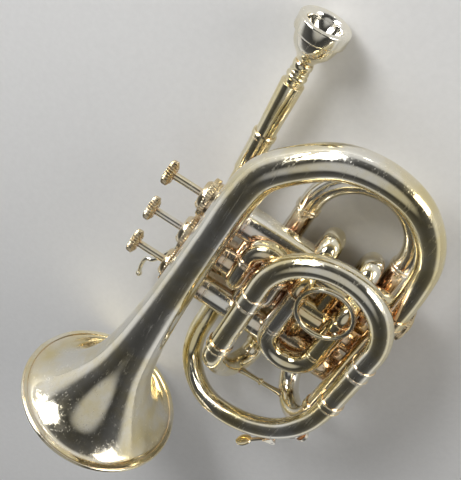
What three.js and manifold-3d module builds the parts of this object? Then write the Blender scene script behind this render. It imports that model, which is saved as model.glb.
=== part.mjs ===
// Pocket trumpet with three piston valves, in playing position.
// Millimetres. +X points out of the bell, +Y to the player's left, +Z up along the valve stems.
// The origin is on the middle valve's axis, where the left hand holds the casings.
import * as THREE from 'three';
import { mergeVertices } from 'three/addons/utils/BufferGeometryUtils.js';
import Module from 'manifold-3d';

const wasm = await Module();
wasm.setup();

// Sides of the faceted round pieces, all multiples of four so that nested tubes line up
const tubeSides = 12;
const casingSides = 12;
const mouthSides = 12;
const smallSides = 8;
const bellSides = 24;

// Fits shared by all pieces
const fitGap = 0.05;
const solderGap = 0.15;
const bendGap = 0.45;
const seatGap = 0.25;
const slideClearance = 0.06;
const overrun = 2;
const stub = 3;
const weldGap = 0.004;
const tubeWall = 0.65;

// Valve block
const valvePitch = 27.4;
const casingRadius = 9.5;
const casingWall = 1.05;
const casingTop = 49.5;
const casingBottom = -66;
const pistonClearance = 0.07;
const pistonTop = 26;
const pistonBottom = -48;
const pistonTravel = 16.2;
const pistonWall = 0.8;
const pistonEndWall = 2;
const passageRadius = 4.6;
const stemRadius = 2.2;

// Caps of the valves
const capSkirtRadius = 10.3;
const capSkirtLength = 6;
const capFlangeRadius = 11.3;
const capFlangeThickness = 3;
const capDomeRadius = 8.6;
const capDomeHeight = 2.9;
const bottomCapRadius = 10.2;
const bottomCapTop = -62;
const bottomCapFloor = -71.5;
const bottomCapFloorThickness = 2;
const bottomCapNubRadius = 5;
const bottomCapNubHeight = 1.6;
const ventRadius = 1.5;

// Finger buttons
const buttonRadius = 7.25;
const buttonStop = 1.15;
const buttonThickness = 4.6;
const buttonSocketDepth = 2.4;
const pearlRadius = 5.1;
const pearlThickness = 1.3;
const pearlRecess = 1;
const pearlCrownShare = 0.7;

// Valve springs
const springRadius = 6;
const springWire = 0.7;
const springTurns = 5;
const springStepsPerTurn = 6;
const springSides = 4;

// Knuckles between the casings, from the first pair to the second
const knuckleHighZ = [18, 8];
const knuckleLowZ = [-32, -26];
const knuckleWall = 1.3;

// Tubes beside the casings
const sideGap = 0.6;
const sideRadius = 6.3;
const leftGap = 1.0;
const leftRadius = 6.0;
const socketWall = 0.6;
const socketLength = 7;
const socketInsert = 4;

// Tuning slide, the large loop on the left
const tuningRadius = 6.4;
const tuningGap = 2.4;
const tuningHighZ = 3.7;
const tuningLowZ = -63;
const tuningRingFront = -6.8;
const tuningRingLength = 8.3;
const tuningRingRadius = 7.1;
const tuningStraight = 7;
const tuningSleeveFront = 30.4;
const tuningLowFront = 22;

// First valve slide, with the finger ring, crook to the front on the left
const firstHighZ = -15.5;
const firstLowZ = -42.9;
const firstCrookX = 13;
const firstLegFront = 6;
const elbowBend = 7;

// Second valve slide, short, crook to the rear on the left
const secondHighZ = 15.3;
const secondLowZ = -2.2;
const secondSleeveRear = -18;
const secondCrookX = -22.5;
const secondInsert = 10;

// Third valve slide, long, crook to the rear on the right
const thirdHighZ = 3.8;
const thirdLowZ = -55.2;
const thirdSleeveRear = -44;
const thirdCrookX = -50;
const thirdInsert = 32;

// Rings on the valve slides
const slideRingWall = 0.8;
const slideRingLength = 3;

// Finger ring on the first slide
const fingerRingRadius = 15.2;
const fingerRingWire = 1.45;
const fingerRingX = -23;
const fingerFootX = -13.5;
const fingerFootLength = 3;
const ringSteps = 20;

// Bell and its bow
const rimX = 137.4;
const rimZ = 46.05;
const rimRadius = 50.7;
const rimBead = 2.4;
const bellTilt = 0.05;
const bellLength = 162.4;
const bellWall = 1.0;
const bellTailRadius = 9.7;
const bellGap = 1.4;
const bellValveRadius = 11.4;
const bowReach = 67.5;
const bowLowZ = -61.6;
const bowLowRadius = 6.5;
const bowEndX = -40;
const lowLegGap = 0.5;

// Return tubes under and beside the valves
const lowLegFront = 45;
const lowReturnZ = -41.2;
const highReturnZ = -17;
const returnWrapX = -33;
const highReturnFront = 57;
const highBowReach = 70;

// Leadpipe, receiver and front bow
const leadRadius = 5.3;
const leadHeight = 42;
const leadTilt = 0.024;
const leadGap = 0.5;
const leadStart = -50;
const leadStraightEnd = 0;
const frontRadius = 6.0;
const frontReach = 88;
const frontRise = 105;
const ridgeRadius = 7.1;
const ridgeLength = 2;
const ridgeGroove = 0.6;
const ridgeCount = 3;
const receiverInsert = 20.6;
const receiverLength = 28;
const receiverWall = 0.5;
const receiverRingRadius = 6.6;
const receiverRingLength = 3.4;

// Mouthpiece
const mouthLength = 88;
const mouthTipGap = 0.9;
const mouthRimRadius = 13.6;
const mouthRimHeight = 8;
const mouthCupRadius = 11.7;
const mouthCupDepth = 11.5;
const mouthNeckRadius = 4.2;
const mouthBeadRadius = 5.6;
const mouthTipRadius = 5;
const mouthThroatRadius = 1.85;
const mouthTaper = 0.025;

// Water key on the front bow
const keyShare = 0.802;
const keyArm = 20;
const keyPaddle = 22;
const keyWidth = 4.6;
const keyThickness = 1.4;
const keyPaddleWidth = 7.4;
const keyPaddleLength = 11;
const keyPaddleLift = 6.8;
const keyPivotLift = 3.4;
const keyTubeRadius = 1.9;
const keyPinRadius = 0.9;
const keyEarWall = 1.2;
const keyEarGap = 0.12;
const corkRadius = 3.2;
const corkThickness = 2.8;
const corkCupWall = 0.7;
const nippleRadius = 2.6;
const nippleHeight = 1.8;

// Braces and hook
const braceLength = 9;
const braceHeight = 4;
const stayRadius = 2.4;
const highStayIndex = 5;
const hookRadius = 1.4;
const hookHeight = 26.5;

// Sides of the planes that the tubes lie in
const rightSide = -(casingRadius + sideGap + sideRadius);
const leftSide = casingRadius + leftGap + leftRadius;
const tuningSide = leftSide + leftRadius + tuningGap + tuningRadius;
const leadSide = -(capSkirtRadius + leadGap + leadRadius);
const bellSide = casingRadius + bellGap + bellValveRadius;
const lowLegSide = bottomCapRadius + lowLegGap + bowLowRadius;
const mouthTip = leadStart - mouthTipGap;
const faceX = mouthTip - mouthLength;
const receiverMouth = leadStart - receiverInsert;
const valveX = [-valvePitch, 0, valvePitch];
const capTop = casingTop + seatGap + capFlangeThickness + capDomeHeight;
const buttonBottom = capTop + pistonTravel + buttonStop;
const stemTop = buttonBottom + buttonSocketDepth - seatGap;

// Colours of the plate, the spring wire, the pearl and the cork
const silver = { color: 0xcfc8b4, roughness: 0.25, metalness: 1 };
const steel = { color: 0xa9a9a6, roughness: 0.4, metalness: 1 };
const pearl = { color: 0xe9e6dc, roughness: 0.3, metalness: 0 };
const cork = { color: 0xb06a35, roughness: 0.8, metalness: 0 };

const trumpet = new THREE.Group();
const V = (x, y, z) => new THREE.Vector3(x, y, z);
const mix = (a, b, share) => a + (b - a) * share;

// Radius of a bore whose flats clear a round piece of this radius
function bore(radius, sides = tubeSides) {
  return (radius + fitGap) / Math.cos(Math.PI / sides);
}

// Keeps only merged positions, which both the solids and the export need
function clean(geometry) {
  const bare = new THREE.BufferGeometry();
  bare.setAttribute('position', geometry.getAttribute('position'));
  if (geometry.index) bare.setIndex(geometry.index);
  return mergeVertices(bare, weldGap);
}

function solid(geometry) {
  const merged = clean(geometry);
  const vertProperties = new Float32Array(merged.getAttribute('position').array);
  const triVerts = new Uint32Array(merged.index.array);
  return new wasm.Manifold(new wasm.Mesh({ numProp: 3, vertProperties, triVerts }));
}

function geometryOf(manifold) {
  const mesh = manifold.getMesh();
  const geometry = new THREE.BufferGeometry();
  geometry.setAttribute('position', new THREE.BufferAttribute(mesh.vertProperties.slice(), mesh.numProp));
  geometry.setIndex(Array.from(mesh.triVerts));
  return geometry;
}

function join(...geometries) {
  return geometryOf(geometries.map(solid).reduce((whole, next) => whole.add(next)));
}

function cut(geometry, ...tools) {
  return geometryOf(tools.map(solid).reduce((rest, tool) => rest.subtract(tool), solid(geometry)));
}

function place(name, geometry, finish, parent = trumpet) {
  const shape = clean(geometry);
  shape.computeVertexNormals();
  const mesh = new THREE.Mesh(shape, new THREE.MeshStandardMaterial(finish));
  mesh.name = name;
  parent.add(mesh);
  return mesh;
}

// A polygon or ring as a shape for extrusions
function polygon(radius, sides) {
  const points = [];
  for (let i = 0; i < sides; i += 1) {
    const angle = (2 * Math.PI * i) / sides;
    points.push(new THREE.Vector2(radius * Math.cos(angle), radius * Math.sin(angle)));
  }
  return points;
}

function ringShape(outer, inner, sides) {
  const shape = new THREE.Shape(polygon(outer, sides));
  if (inner > 0) shape.holes.push(new THREE.Path(polygon(inner, sides)));
  return shape;
}

// A tube, or a rod when inner is zero, along a curve
function sweep(curve, steps, outer, inner, sides = tubeSides) {
  return new THREE.ExtrudeGeometry(ringShape(outer, inner, sides), {
    steps,
    extrudePath: curve,
    curveSegments: 1,
  });
}

function straight(from, to, outer, inner = 0, sides = tubeSides) {
  return sweep(new THREE.LineCurve3(from, to), 1, outer, inner, sides);
}

// Points of a closed profile of [radius, place along the axis] pairs, in the order that turns its faces out
function profilePoints(profile) {
  const area = profile.reduce((sum, [radius, along], i) => {
    const [nextRadius, nextAlong] = profile[(i + 1) % profile.length];
    return sum + radius * nextAlong - nextRadius * along;
  }, 0);
  const ordered = area < 0 ? [...profile].reverse() : profile;
  const start = ordered.findIndex(([radius], i) => radius === 0 && ordered.at(i - 1)[0] === 0);
  const fromAxis = [...ordered.slice(start), ...ordered.slice(0, start)];
  const turned = start < 0 ? [...ordered, ordered[0]] : fromAxis;
  return turned.map(([radius, along]) => new THREE.Vector2(radius, along));
}

// A profile turned around an axis along +X
function turnX(profile, sides) {
  return new THREE.LatheGeometry(profilePoints(profile), sides).rotateZ(-Math.PI / 2);
}

// The same around +Z
function turnZ(profile, sides) {
  return new THREE.LatheGeometry(profilePoints(profile), sides).rotateX(Math.PI / 2);
}

// Points of a quarter or half circle around a centre, from angle a to angle b of the two unit arms
function arc(centre, armA, armB, radius, a, b, count) {
  const points = [];
  for (let i = 0; i <= count; i += 1) {
    const angle = a + ((b - a) * i) / count;
    const point = centre.clone();
    point.addScaledVector(armA, radius * Math.cos(angle));
    point.addScaledVector(armB, radius * Math.sin(angle));
    points.push(point);
  }
  return points;
}

// A path of short straight pieces, one per listed point, for tubes of straight legs and round bends
class Polyline extends THREE.Curve {
  constructor(points) {
    super();
    this.points = points;
  }

  getSpacedPoints() {
    return this.points.map((point) => point.clone());
  }

  getTangentAt(share, target = new THREE.Vector3()) {
    const last = this.points.length - 1;
    const i = Math.round(share * last);
    const before = this.points[Math.max(i - 1, 0)];
    const after = this.points[Math.min(i + 1, last)];
    if (i === 0 || i === last) return target.subVectors(after, before).normalize();
    const here = this.points[i];
    const into = here.clone().sub(before).normalize();
    const out = after.clone().sub(here).normalize();
    return target.addVectors(into, out).normalize();
  }
}

function pipe(points, outer, inner, sides = tubeSides) {
  return sweep(new Polyline(points), points.length - 1, outer, inner, sides);
}

const unitX = V(1, 0, 0);
const unitY = V(0, 1, 0);
const unitZ = V(0, 0, 1);
const bendCount = 8;
const elbowCount = 3;

// Half circle in the X-Z plane at a side, from the high leg to the low leg
function crookPoints(x, side, highZ, lowZ, toFront) {
  const centre = V(x, side, (highZ + lowZ) / 2);
  const out = toFront ? unitX : unitX.clone().negate();
  return arc(centre, out, unitZ, (highZ - lowZ) / 2, Math.PI / 2, -Math.PI / 2, bendCount);
}

// Elbow from a casing's side port to a leg beside the casing
function elbowPoints(x, side, z, toFront) {
  const sign = Math.sign(side);
  const reach = toFront ? elbowBend : -elbowBend;
  const centre = V(x + reach, side - sign * elbowBend, z);
  const armA = unitX.clone().multiplyScalar(-Math.sign(reach));
  const armB = unitY.clone().multiplyScalar(sign);
  return [V(x, 0, z), ...arc(centre, armA, armB, elbowBend, 0, Math.PI / 2, elbowCount)];
}

function casingBody(x, radius = casingRadius + seatGap) {
  return straight(V(x, 0, casingBottom - overrun), V(x, 0, casingTop + overrun), radius, 0, casingSides);
}

// Loose ring over the joint of two tubes
function socket(from, direction, length, radius, sides = tubeSides) {
  const to = from.clone().addScaledVector(direction, length);
  const inner = bore(radius + solderGap, sides);
  return straight(from, to, inner + socketWall, inner, sides);
}

// Collar on a tube that starts at end and runs forward, holding a neighbouring tube that comes from behind
function collar(end, held, own) {
  const outer = bore(held) + socketWall;
  return turnX([
    [outer, -socketInsert],
    [outer, socketWall * 2],
    [own - tubeWall / 2, socketWall * 2],
    [own - tubeWall / 2, seatGap],
    [bore(held), seatGap],
    [bore(held), -socketInsert],
  ], tubeSides).translate(...end);
}

// Bell: a flare of chosen shares of its length and of its radius above the tail
const bellBackShares = [0.016, 0.05, 0.093, 0.155, 0.246, 0.37, 0.55, 0.78, 1];
const bellFlareShares = [0.87, 0.685, 0.537, 0.385, 0.238, 0.14, 0.065, 0.018, 0];

const bellFlare = bellBackShares.map((back, i) => [
  mix(bellTailRadius, rimRadius, bellFlareShares[i]),
  -back * bellLength,
]);

function bellOutside(extra) {
  const rim = [[rimRadius, 0], [rimRadius, -rimBead / 2], [rimRadius - rimBead / 2, -rimBead]];
  return [...rim, ...bellFlare].map(([radius, along]) => [radius + extra, along]);
}

function bellGeometry() {
  const inside = bellFlare.map(([radius, along]) => [radius - bellWall, along]).reverse();
  return turnX([...bellOutside(0), ...inside, [rimRadius - rimBead, 0]], bellSides);
}

const bellGroup = new THREE.Group();
bellGroup.position.set(rimX, bellSide, rimZ);
bellGroup.rotation.y = -bellTilt;
trumpet.add(bellGroup);
place('bell', bellGeometry(), silver, bellGroup);

// Sleeve inside the joint of bell and bow
function bellSleeveGeometry() {
  const outer = (bellTailRadius - bellWall) * Math.cos(Math.PI / tubeSides) - solderGap;
  const inner = outer - socketWall;
  const half = socketLength / 2;
  return turnX([
    [outer, -bellLength - half],
    [outer, -bellLength + half],
    [inner, -bellLength + half],
    [inner, -bellLength - half],
  ], tubeSides);
}
place('bell_sleeve', bellSleeveGeometry(), silver, bellGroup);

// The large bow behind the bell, narrowing towards its low end
const bellBack = V(-Math.cos(bellTilt), 0, -Math.sin(bellTilt));
const bellTail = V(rimX, bellSide, rimZ).addScaledVector(bellBack, bellLength + seatGap);
const bowRear = bowEndX - bowReach;
const bowUpperBackShares = [0.13, 0.36, 0.59, 0.79, 0.945, 1];
const bowLowerBackShares = [0.951, 0.792, 0.572, 0.316, 0.108];
const bowDropShares = [0.005, 0.018, 0.06, 0.185, 0.345, 0.535, 0.725, 0.865, 0.955, 0.99, 1];
const bowSideShares = [0, 0, 0, 0, 0, 0, 0.1, 0.45, 0.9, 1, 1];
const bellBowSteps = 14;
const bowTaperShares = [0, 0.02, 0.05, 0.09, 0.14, 0.22, 0.34, 0.52, 0.68, 0.83, 0.93, 1];

// The upper half runs back from the bell, the lower half from the low leg
function bowCurve() {
  const back = [
    ...bowUpperBackShares.map((share) => mix(bellTail.x, bowRear, share)),
    ...bowLowerBackShares.map((share) => mix(bowEndX, bowRear, share)),
  ];
  const points = back.map((x, i) => V(
    x,
    mix(bellSide, lowLegSide, bowSideShares[i]),
    mix(bellTail.z, bowLowZ, bowDropShares[i]),
  ));
  return new THREE.CatmullRomCurve3([bellTail, ...points, V(bowEndX, lowLegSide, bowLowZ)]);
}

// Narrows a swept tube along its path, keeping the wall
function taper(geometry, centres, startRadius, wall, radiusAt) {
  const position = geometry.getAttribute('position');
  const point = new THREE.Vector3();
  for (let i = 0; i < position.count; i += 1) {
    point.fromBufferAttribute(position, i);
    const distances = centres.map((centre) => centre.distanceTo(point));
    const ring = distances.indexOf(Math.min(...distances));
    const isInner = distances[ring] < startRadius - wall / 2;
    const radius = radiusAt(ring / (centres.length - 1)) - (isInner ? wall : 0);
    point.sub(centres[ring]).setLength(radius).add(centres[ring]);
    position.setXYZ(i, point.x, point.y, point.z);
  }
  return geometry;
}

function shareAt(shares, along) {
  const place = along * (shares.length - 1);
  const i = Math.min(Math.floor(place), shares.length - 2);
  return mix(shares[i], shares[i + 1], place - i);
}

function bellBowGeometry() {
  const curve = bowCurve();
  const tube = sweep(curve, bellBowSteps, bellTailRadius, bellTailRadius - bellWall, tubeSides);
  const radiusAt = (along) => mix(bellTailRadius, bowLowRadius, shareAt(bowTaperShares, along));
  return taper(tube, curve.getSpacedPoints(bellBowSteps), bellTailRadius, bellWall, radiusAt);
}
place('bell_bow', bellBowGeometry(), silver);

// Straight tube from the bow forward under the valves
const lowLegStart = V(bowEndX + seatGap, lowLegSide, bowLowZ);
const lowLegEnd = V(lowLegFront, lowLegSide, bowLowZ);
const lowLegDirection = lowLegEnd.clone().sub(lowLegStart).normalize();
place('low_leg', straight(lowLegStart, lowLegEnd, bowLowRadius, bowLowRadius - tubeWall), silver);
place('bow_ferrule', socket(
  lowLegStart.clone().addScaledVector(lowLegDirection, -socketLength / 2),
  lowLegDirection,
  socketLength,
  bowLowRadius,
), silver);

// Front bow from the low leg across to the right side tube
const lowBowEnd = V(lowLegFront, rightSide, lowReturnZ);

function lowBowPoints() {
  const centre = lowLegEnd.clone().add(lowBowEnd).multiplyScalar(1 / 2).addScaledVector(unitX, stub);
  const across = lowLegEnd.clone().sub(lowBowEnd);
  const radius = across.length() / 2;
  const bend = arc(centre, unitX, across.normalize(), radius, Math.PI / 2, -Math.PI / 2, bendCount);
  const ends = [lowLegEnd, lowBowEnd].map((end) => end.clone().addScaledVector(unitX, seatGap));
  return [ends[0], ...bend, ends[1]];
}

function lowBowGeometry() {
  const bow = pipe(lowBowPoints(), sideRadius, sideRadius - tubeWall);
  const collars = [lowLegEnd, lowBowEnd].map((end) => collar(end, bowLowRadius, sideRadius));
  return join(bow, ...collars);
}
place('low_bow', lowBowGeometry(), silver);

// Tube along the right side that wraps behind the first valve
function wrapGeometry(front, z) {
  const centre = V(returnWrapX, rightSide / 2, z);
  const back = unitX.clone().negate();
  const turn = arc(centre, unitY.clone().negate(), back, -rightSide / 2, 0, Math.PI, bendCount);
  const points = [V(front, rightSide, z), ...turn, V(-valvePitch, 0, z)];
  return cut(pipe(points, sideRadius, sideRadius - tubeWall), casingBody(-valvePitch));
}
place('low_return_tube', wrapGeometry(lowLegFront, lowReturnZ), silver);
place('high_return_tube', wrapGeometry(highReturnFront, highReturnZ), silver);

// Bow from the tuning slide's high sleeve around the front to the right side tube
const highBowSteps = 10;
const highBowFrontShares = [0.2, 0.5, 0.81, 1, 0.93];
const highBowSideShares = [0.005, 0.19, 0.41, 0.665, 0.92];
const highBowDropShares = [0.01, 0.18, 0.42, 0.71, 0.97];

function highBowPoints() {
  const start = V(tuningSleeveFront + seatGap, tuningSide, tuningHighZ);
  const points = highBowFrontShares.map((share, i) => V(
    mix(start.x, highBowReach, share),
    mix(tuningSide, rightSide, highBowSideShares[i]),
    mix(tuningHighZ, highReturnZ, highBowDropShares[i]),
  ));
  const end = V(highReturnFront + seatGap, rightSide, highReturnZ);
  const ahead = unitX.clone().multiplyScalar(stub);
  return [start, start.clone().add(ahead), ...points, end.clone().add(ahead), end];
}

function highBowGeometry() {
  const curve = new THREE.CatmullRomCurve3(highBowPoints());
  const bow = sweep(curve, highBowSteps, sideRadius, sideRadius - tubeWall);
  const startCollar = collar(V(tuningSleeveFront, tuningSide, tuningHighZ), tuningRadius, sideRadius);
  const endCollar = collar(V(highReturnFront, rightSide, highReturnZ), sideRadius, sideRadius);
  return join(bow, startCollar, endCollar);
}
place('high_bow', highBowGeometry(), silver);

// Leadpipe: straight on a slightly tilted axis, then down beside the valves
const leadGroup = new THREE.Group();
leadGroup.position.set(0, leadSide, leadHeight);
leadGroup.rotation.y = leadTilt;
trumpet.add(leadGroup);
const leadPoint = (x) => V(x * Math.cos(leadTilt), leadSide, leadHeight - x * Math.sin(leadTilt));

const frontBowSteps = 14;
const frontReachShares = [
  0.19, 0.35, 0.495, 0.64, 0.789, 0.917, 0.982, 1.016, 1, 0.945, 0.849, 0.725, 0.597, 0.453,
];
const frontSideShares = [
  0, 0, 0.04, 0.08, 0.16, 0.286, 0.433, 0.58, 0.706, 0.811, 0.9, 0.965, 1, 1,
];
const frontRiseShares = [
  0.945, 0.84, 0.774, 0.765, 0.761, 0.727, 0.661, 0.57, 0.473, 0.357, 0.232, 0.13, 0.065, 0.018,
];
const ferruleIndex = 2;

const frontPoints = frontReachShares.map((share, i) => V(
  share * frontReach,
  mix(leadSide, tuningSide, frontSideShares[i]),
  tuningLowZ + frontRiseShares[i] * frontRise,
));

// One smooth route from the receiver to the tuning slide, parted at the ridged ferrule
const routePoints = [
  leadPoint(leadStart),
  leadPoint((leadStart + leadStraightEnd) / 2),
  leadPoint(leadStraightEnd),
  ...frontPoints,
  V(tuningLowFront + stub, tuningSide, tuningLowZ),
  V(tuningLowFront + seatGap, tuningSide, tuningLowZ),
];
const route = new THREE.CatmullRomCurve3(routePoints);
const ferruleShare = (ferruleIndex + 3) / (routePoints.length - 1);
const ferrulePoint = route.getPoint(ferruleShare);
const ferruleDirection = route.getTangent(ferruleShare);

// A stretch of a curve
class Stretch extends THREE.Curve {
  constructor(whole, from, to) {
    super();
    this.whole = whole;
    this.from = from;
    this.to = to;
  }

  getPoint(share, target) {
    return this.whole.getPoint(mix(this.from, this.to, share), target);
  }
}

const leadSteps = 10;
const leadCurve = new Stretch(route, 0, ferruleShare);
place('leadpipe', sweep(leadCurve, leadSteps, leadRadius, leadRadius - tubeWall), silver);

const spanToNext = ferrulePoint.distanceTo(frontPoints[ferruleIndex + 1]);
const partShare = seatGap / (spanToNext * (routePoints.length - 1));
const frontBowCurve = new Stretch(route, ferruleShare + partShare, 1);

// Front bow, with a short nipple where the water key's cork sits
const keyRoot = frontBowCurve.getPointAt(keyShare);
const keyAlong = frontBowCurve.getTangentAt(keyShare).negate();
const keyLeanShares = [-0.31, -0.92, 0.25];
const keySide = V(...keyLeanShares);
keySide.addScaledVector(keyAlong, -keySide.dot(keyAlong)).normalize();
const keyOut = new THREE.Vector3().crossVectors(keyAlong, keySide).normalize();

function frontBowGeometry() {
  const bow = sweep(frontBowCurve, frontBowSteps, frontRadius, frontRadius - tubeWall);
  const inside = frontRadius - tubeWall * 2;
  const tip = frontRadius + nippleHeight;
  const nippleFrom = keyRoot.clone().addScaledVector(keyOut, inside);
  const nippleTo = keyRoot.clone().addScaledVector(keyOut, tip);
  const nipple = straight(nippleFrom, nippleTo, nippleRadius, 0, smallSides);
  const holeTo = nippleTo.clone().addScaledVector(keyOut, overrun);
  const hole = straight(keyRoot, holeTo, nippleRadius / 2, 0, smallSides);
  const endCollar = collar(V(tuningLowFront, tuningSide, tuningLowZ), tuningRadius, frontRadius);
  return cut(join(bow, nipple, endCollar), hole);
}
place('front_bow', frontBowGeometry(), silver);

// Ridged ferrule between leadpipe and front bow
function ridgedFerruleGeometry() {
  const rearBore = bore(leadRadius + bendGap);
  const frontBore = bore(frontRadius + bendGap);
  const profile = [];
  const half = (ridgeCount * ridgeLength) / 2;
  for (let i = 0; i < ridgeCount; i += 1) {
    const from = -half + i * ridgeLength;
    profile.push([ridgeRadius + ridgeGroove, from]);
    profile.push([ridgeRadius + ridgeGroove, from + ridgeLength - ridgeGroove]);
    profile.push([ridgeRadius, from + ridgeLength - ridgeGroove]);
    profile.push([ridgeRadius, from + ridgeLength]);
  }
  profile.pop();
  profile.pop();
  profile.push([frontBore, half - ridgeGroove], [frontBore, 0], [rearBore, 0], [rearBore, -half]);
  return turnX(profile, tubeSides);
}
const ferruleMesh = place('lead_ferrule', ridgedFerruleGeometry(), silver);
ferruleMesh.position.copy(ferrulePoint);
ferruleMesh.quaternion.setFromUnitVectors(unitX, ferruleDirection);

// Receiver that holds the mouthpiece and slips over the leadpipe
const shankRadiusAt = (x) => mouthTipRadius + (mouthTip - x) * mouthTaper;

function receiverGeometry() {
  const end = receiverMouth + receiverLength;
  const pipeBore = bore(leadRadius + fitGap);
  const body = pipeBore + receiverWall;
  return turnX([
    [receiverRingRadius - ridgeGroove, receiverMouth],
    [receiverRingRadius, receiverMouth + ridgeGroove],
    [receiverRingRadius, receiverMouth + receiverRingLength],
    [body, receiverMouth + receiverRingLength + ridgeGroove],
    [body, end],
    [pipeBore, end],
    [pipeBore, leadStart - seatGap],
    [shankRadiusAt(mouthTip) + fitGap, leadStart - seatGap],
    [shankRadiusAt(mouthTip) + fitGap, mouthTip],
    [shankRadiusAt(receiverMouth) + fitGap, receiverMouth],
  ], mouthSides);
}
place('receiver', receiverGeometry(), silver, leadGroup);

// Mouthpiece: rim band, cup, neck beads and tapered shank, bored through
const cupShares = [[0.72, 0.06], [0.66, 0.16], [0.59, 0.4], [0.42, 0.75], [0.22, 0.95]];
const rimShares = [[0.9, 0], [0.97, 0.05], [1, 0.16], [1, 0.86], [0.965, 0.98]];
const bodyShares = [[1, 0.105], [0.93, 0.15], [0.78, 0.185], [0.56, 0.22], [0.42, 0.25]];
const beadShares = [[0.265, 0.305, 0.95], [0.32, 0.335, 0.86], [0.345, 0.375, 1]];

function mouthpieceGeometry() {
  const at = (share) => faceX + share * mouthLength;
  const rim = rimShares.map(([r, along]) => [r * mouthRimRadius, faceX + along * mouthRimHeight]);
  const body = bodyShares.map(([r, along]) => [r * mouthCupRadius, at(along)]);
  const beads = beadShares.flatMap(([from, to, r]) => [
    [mouthNeckRadius, at(from)],
    [r * mouthBeadRadius, at(from)],
    [r * mouthBeadRadius, at(to)],
    [mouthNeckRadius, at(to)],
  ]);
  const shankTop = beadShares[beadShares.length - 1][1] + beadShares[0][1] - beadShares[0][0];
  const shank = [[shankRadiusAt(at(shankTop)), at(shankTop)], [shankRadiusAt(mouthTip), mouthTip]];
  const bored = [
    [mouthTipRadius - tubeWall, mouthTip],
    [mouthThroatRadius, faceX + mouthCupDepth + mouthRimHeight],
    [mouthThroatRadius, faceX + mouthCupDepth],
  ];
  const cup = cupShares.map(([r, along]) => [r * mouthRimRadius, faceX + along * mouthCupDepth]).reverse();
  return turnX([...rim, ...body, ...beads, ...shank, ...bored, ...cup], mouthSides);
}
place('mouthpiece', mouthpieceGeometry(), silver, leadGroup);

// Ports of each casing: [direction, height]
const toLeft = unitY;
const toRight = unitY.clone().negate();
const toRear = unitX.clone().negate();
const ports = [
  [[toLeft, firstHighZ], [toLeft, firstLowZ], [toRear, highReturnZ], [toRear, lowReturnZ],
    [unitX, knuckleHighZ[0]], [unitX, knuckleLowZ[0]]],
  [[toLeft, secondHighZ], [toLeft, secondLowZ], [toRear, knuckleHighZ[0]], [toRear, knuckleLowZ[0]],
    [unitX, knuckleHighZ[1]], [unitX, knuckleLowZ[1]]],
  [[toRight, thirdHighZ], [toRight, thirdLowZ], [toRear, knuckleHighZ[1]], [toRear, knuckleLowZ[1]]],
];

function casingGeometry(index) {
  const x = valveX[index];
  const wall = turnZ([
    [casingRadius, casingBottom],
    [casingRadius, casingTop],
    [casingRadius - casingWall, casingTop],
    [casingRadius - casingWall, casingBottom],
  ], casingSides).translate(x, 0, 0);
  const bores = ports[index].map(([direction, z]) => {
    const start = V(x, 0, z);
    const end = start.clone().addScaledVector(direction, casingRadius * 2);
    return straight(start, end, passageRadius, 0, smallSides);
  });
  return cut(wall, ...bores);
}

function topCapGeometry() {
  const inner = bore(casingRadius, casingSides);
  const roof = casingTop + seatGap;
  const skirtBottom = roof - capSkirtLength;
  const flangeTop = roof + capFlangeThickness;
  const hole = stemRadius + pistonClearance;
  return turnZ([
    [hole, roof],
    [inner, roof],
    [inner, skirtBottom],
    [capSkirtRadius, skirtBottom],
    [capSkirtRadius, roof],
    [capFlangeRadius, roof + seatGap],
    [capFlangeRadius, flangeTop],
    [capDomeRadius, flangeTop],
    [capDomeRadius - capDomeHeight / 2, flangeTop + capDomeHeight],
    [hole, flangeTop + capDomeHeight],
  ], casingSides);
}

function bottomCapGeometry() {
  const inner = bore(casingRadius, casingSides);
  const ledge = casingBottom - seatGap;
  const innerFloor = casingRadius - casingWall;
  const under = bottomCapFloor - bottomCapFloorThickness;
  return turnZ([
    [ventRadius, under - bottomCapNubHeight],
    [bottomCapNubRadius, under - bottomCapNubHeight],
    [bottomCapNubRadius, under],
    [bottomCapRadius - bottomCapFloorThickness / 2, under],
    [bottomCapRadius, under + bottomCapFloorThickness / 2],
    [bottomCapRadius, bottomCapTop],
    [inner, bottomCapTop],
    [inner, ledge],
    [innerFloor, ledge],
    [innerFloor, bottomCapFloor],
    [ventRadius, bottomCapFloor],
  ], casingSides);
}

// Passages through each piston, from a place across its width (-1 to 1) and height to another
const turnHeight = (knuckleHighZ[1] + knuckleLowZ[1]) / 2;
const passages = [
  [[-1, highReturnZ, 1, knuckleHighZ[0]], [-1, lowReturnZ, 1, knuckleLowZ[0]]],
  [[-1, knuckleHighZ[0], 1, knuckleHighZ[1]], [-1, knuckleLowZ[0], 1, knuckleLowZ[1]]],
  [[-1, knuckleHighZ[1], 0, turnHeight], [-1, knuckleLowZ[1], 0, turnHeight]],
];

// Hollow piston with a tube for each passage and a vent in its lower end
function pistonGeometry(index) {
  const radius = casingRadius - casingWall - pistonClearance;
  const body = turnZ([
    [0, pistonBottom],
    [radius, pistonBottom],
    [radius, pistonTop],
    [stemRadius, pistonTop],
    [stemRadius, stemTop],
    [0, stemTop],
  ], casingSides);
  const cavity = turnZ([
    [0, pistonBottom - overrun],
    [ventRadius, pistonBottom - overrun],
    [ventRadius, pistonBottom + pistonEndWall],
    [radius - pistonWall, pistonBottom + pistonEndWall],
    [radius - pistonWall, pistonTop - pistonEndWall],
    [0, pistonTop - pistonEndWall],
  ], casingSides);
  const along = (tubeRadius) => passages[index].map(([fromShare, fromZ, toShare, toZ]) => straight(
    V(fromShare * casingRadius, 0, fromZ),
    V(toShare * casingRadius, 0, toZ),
    tubeRadius,
    0,
    smallSides,
  ));
  const hollow = cut(cavity, ...along(passageRadius + pistonWall));
  return cut(body, hollow, ...along(passageRadius));
}

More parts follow.
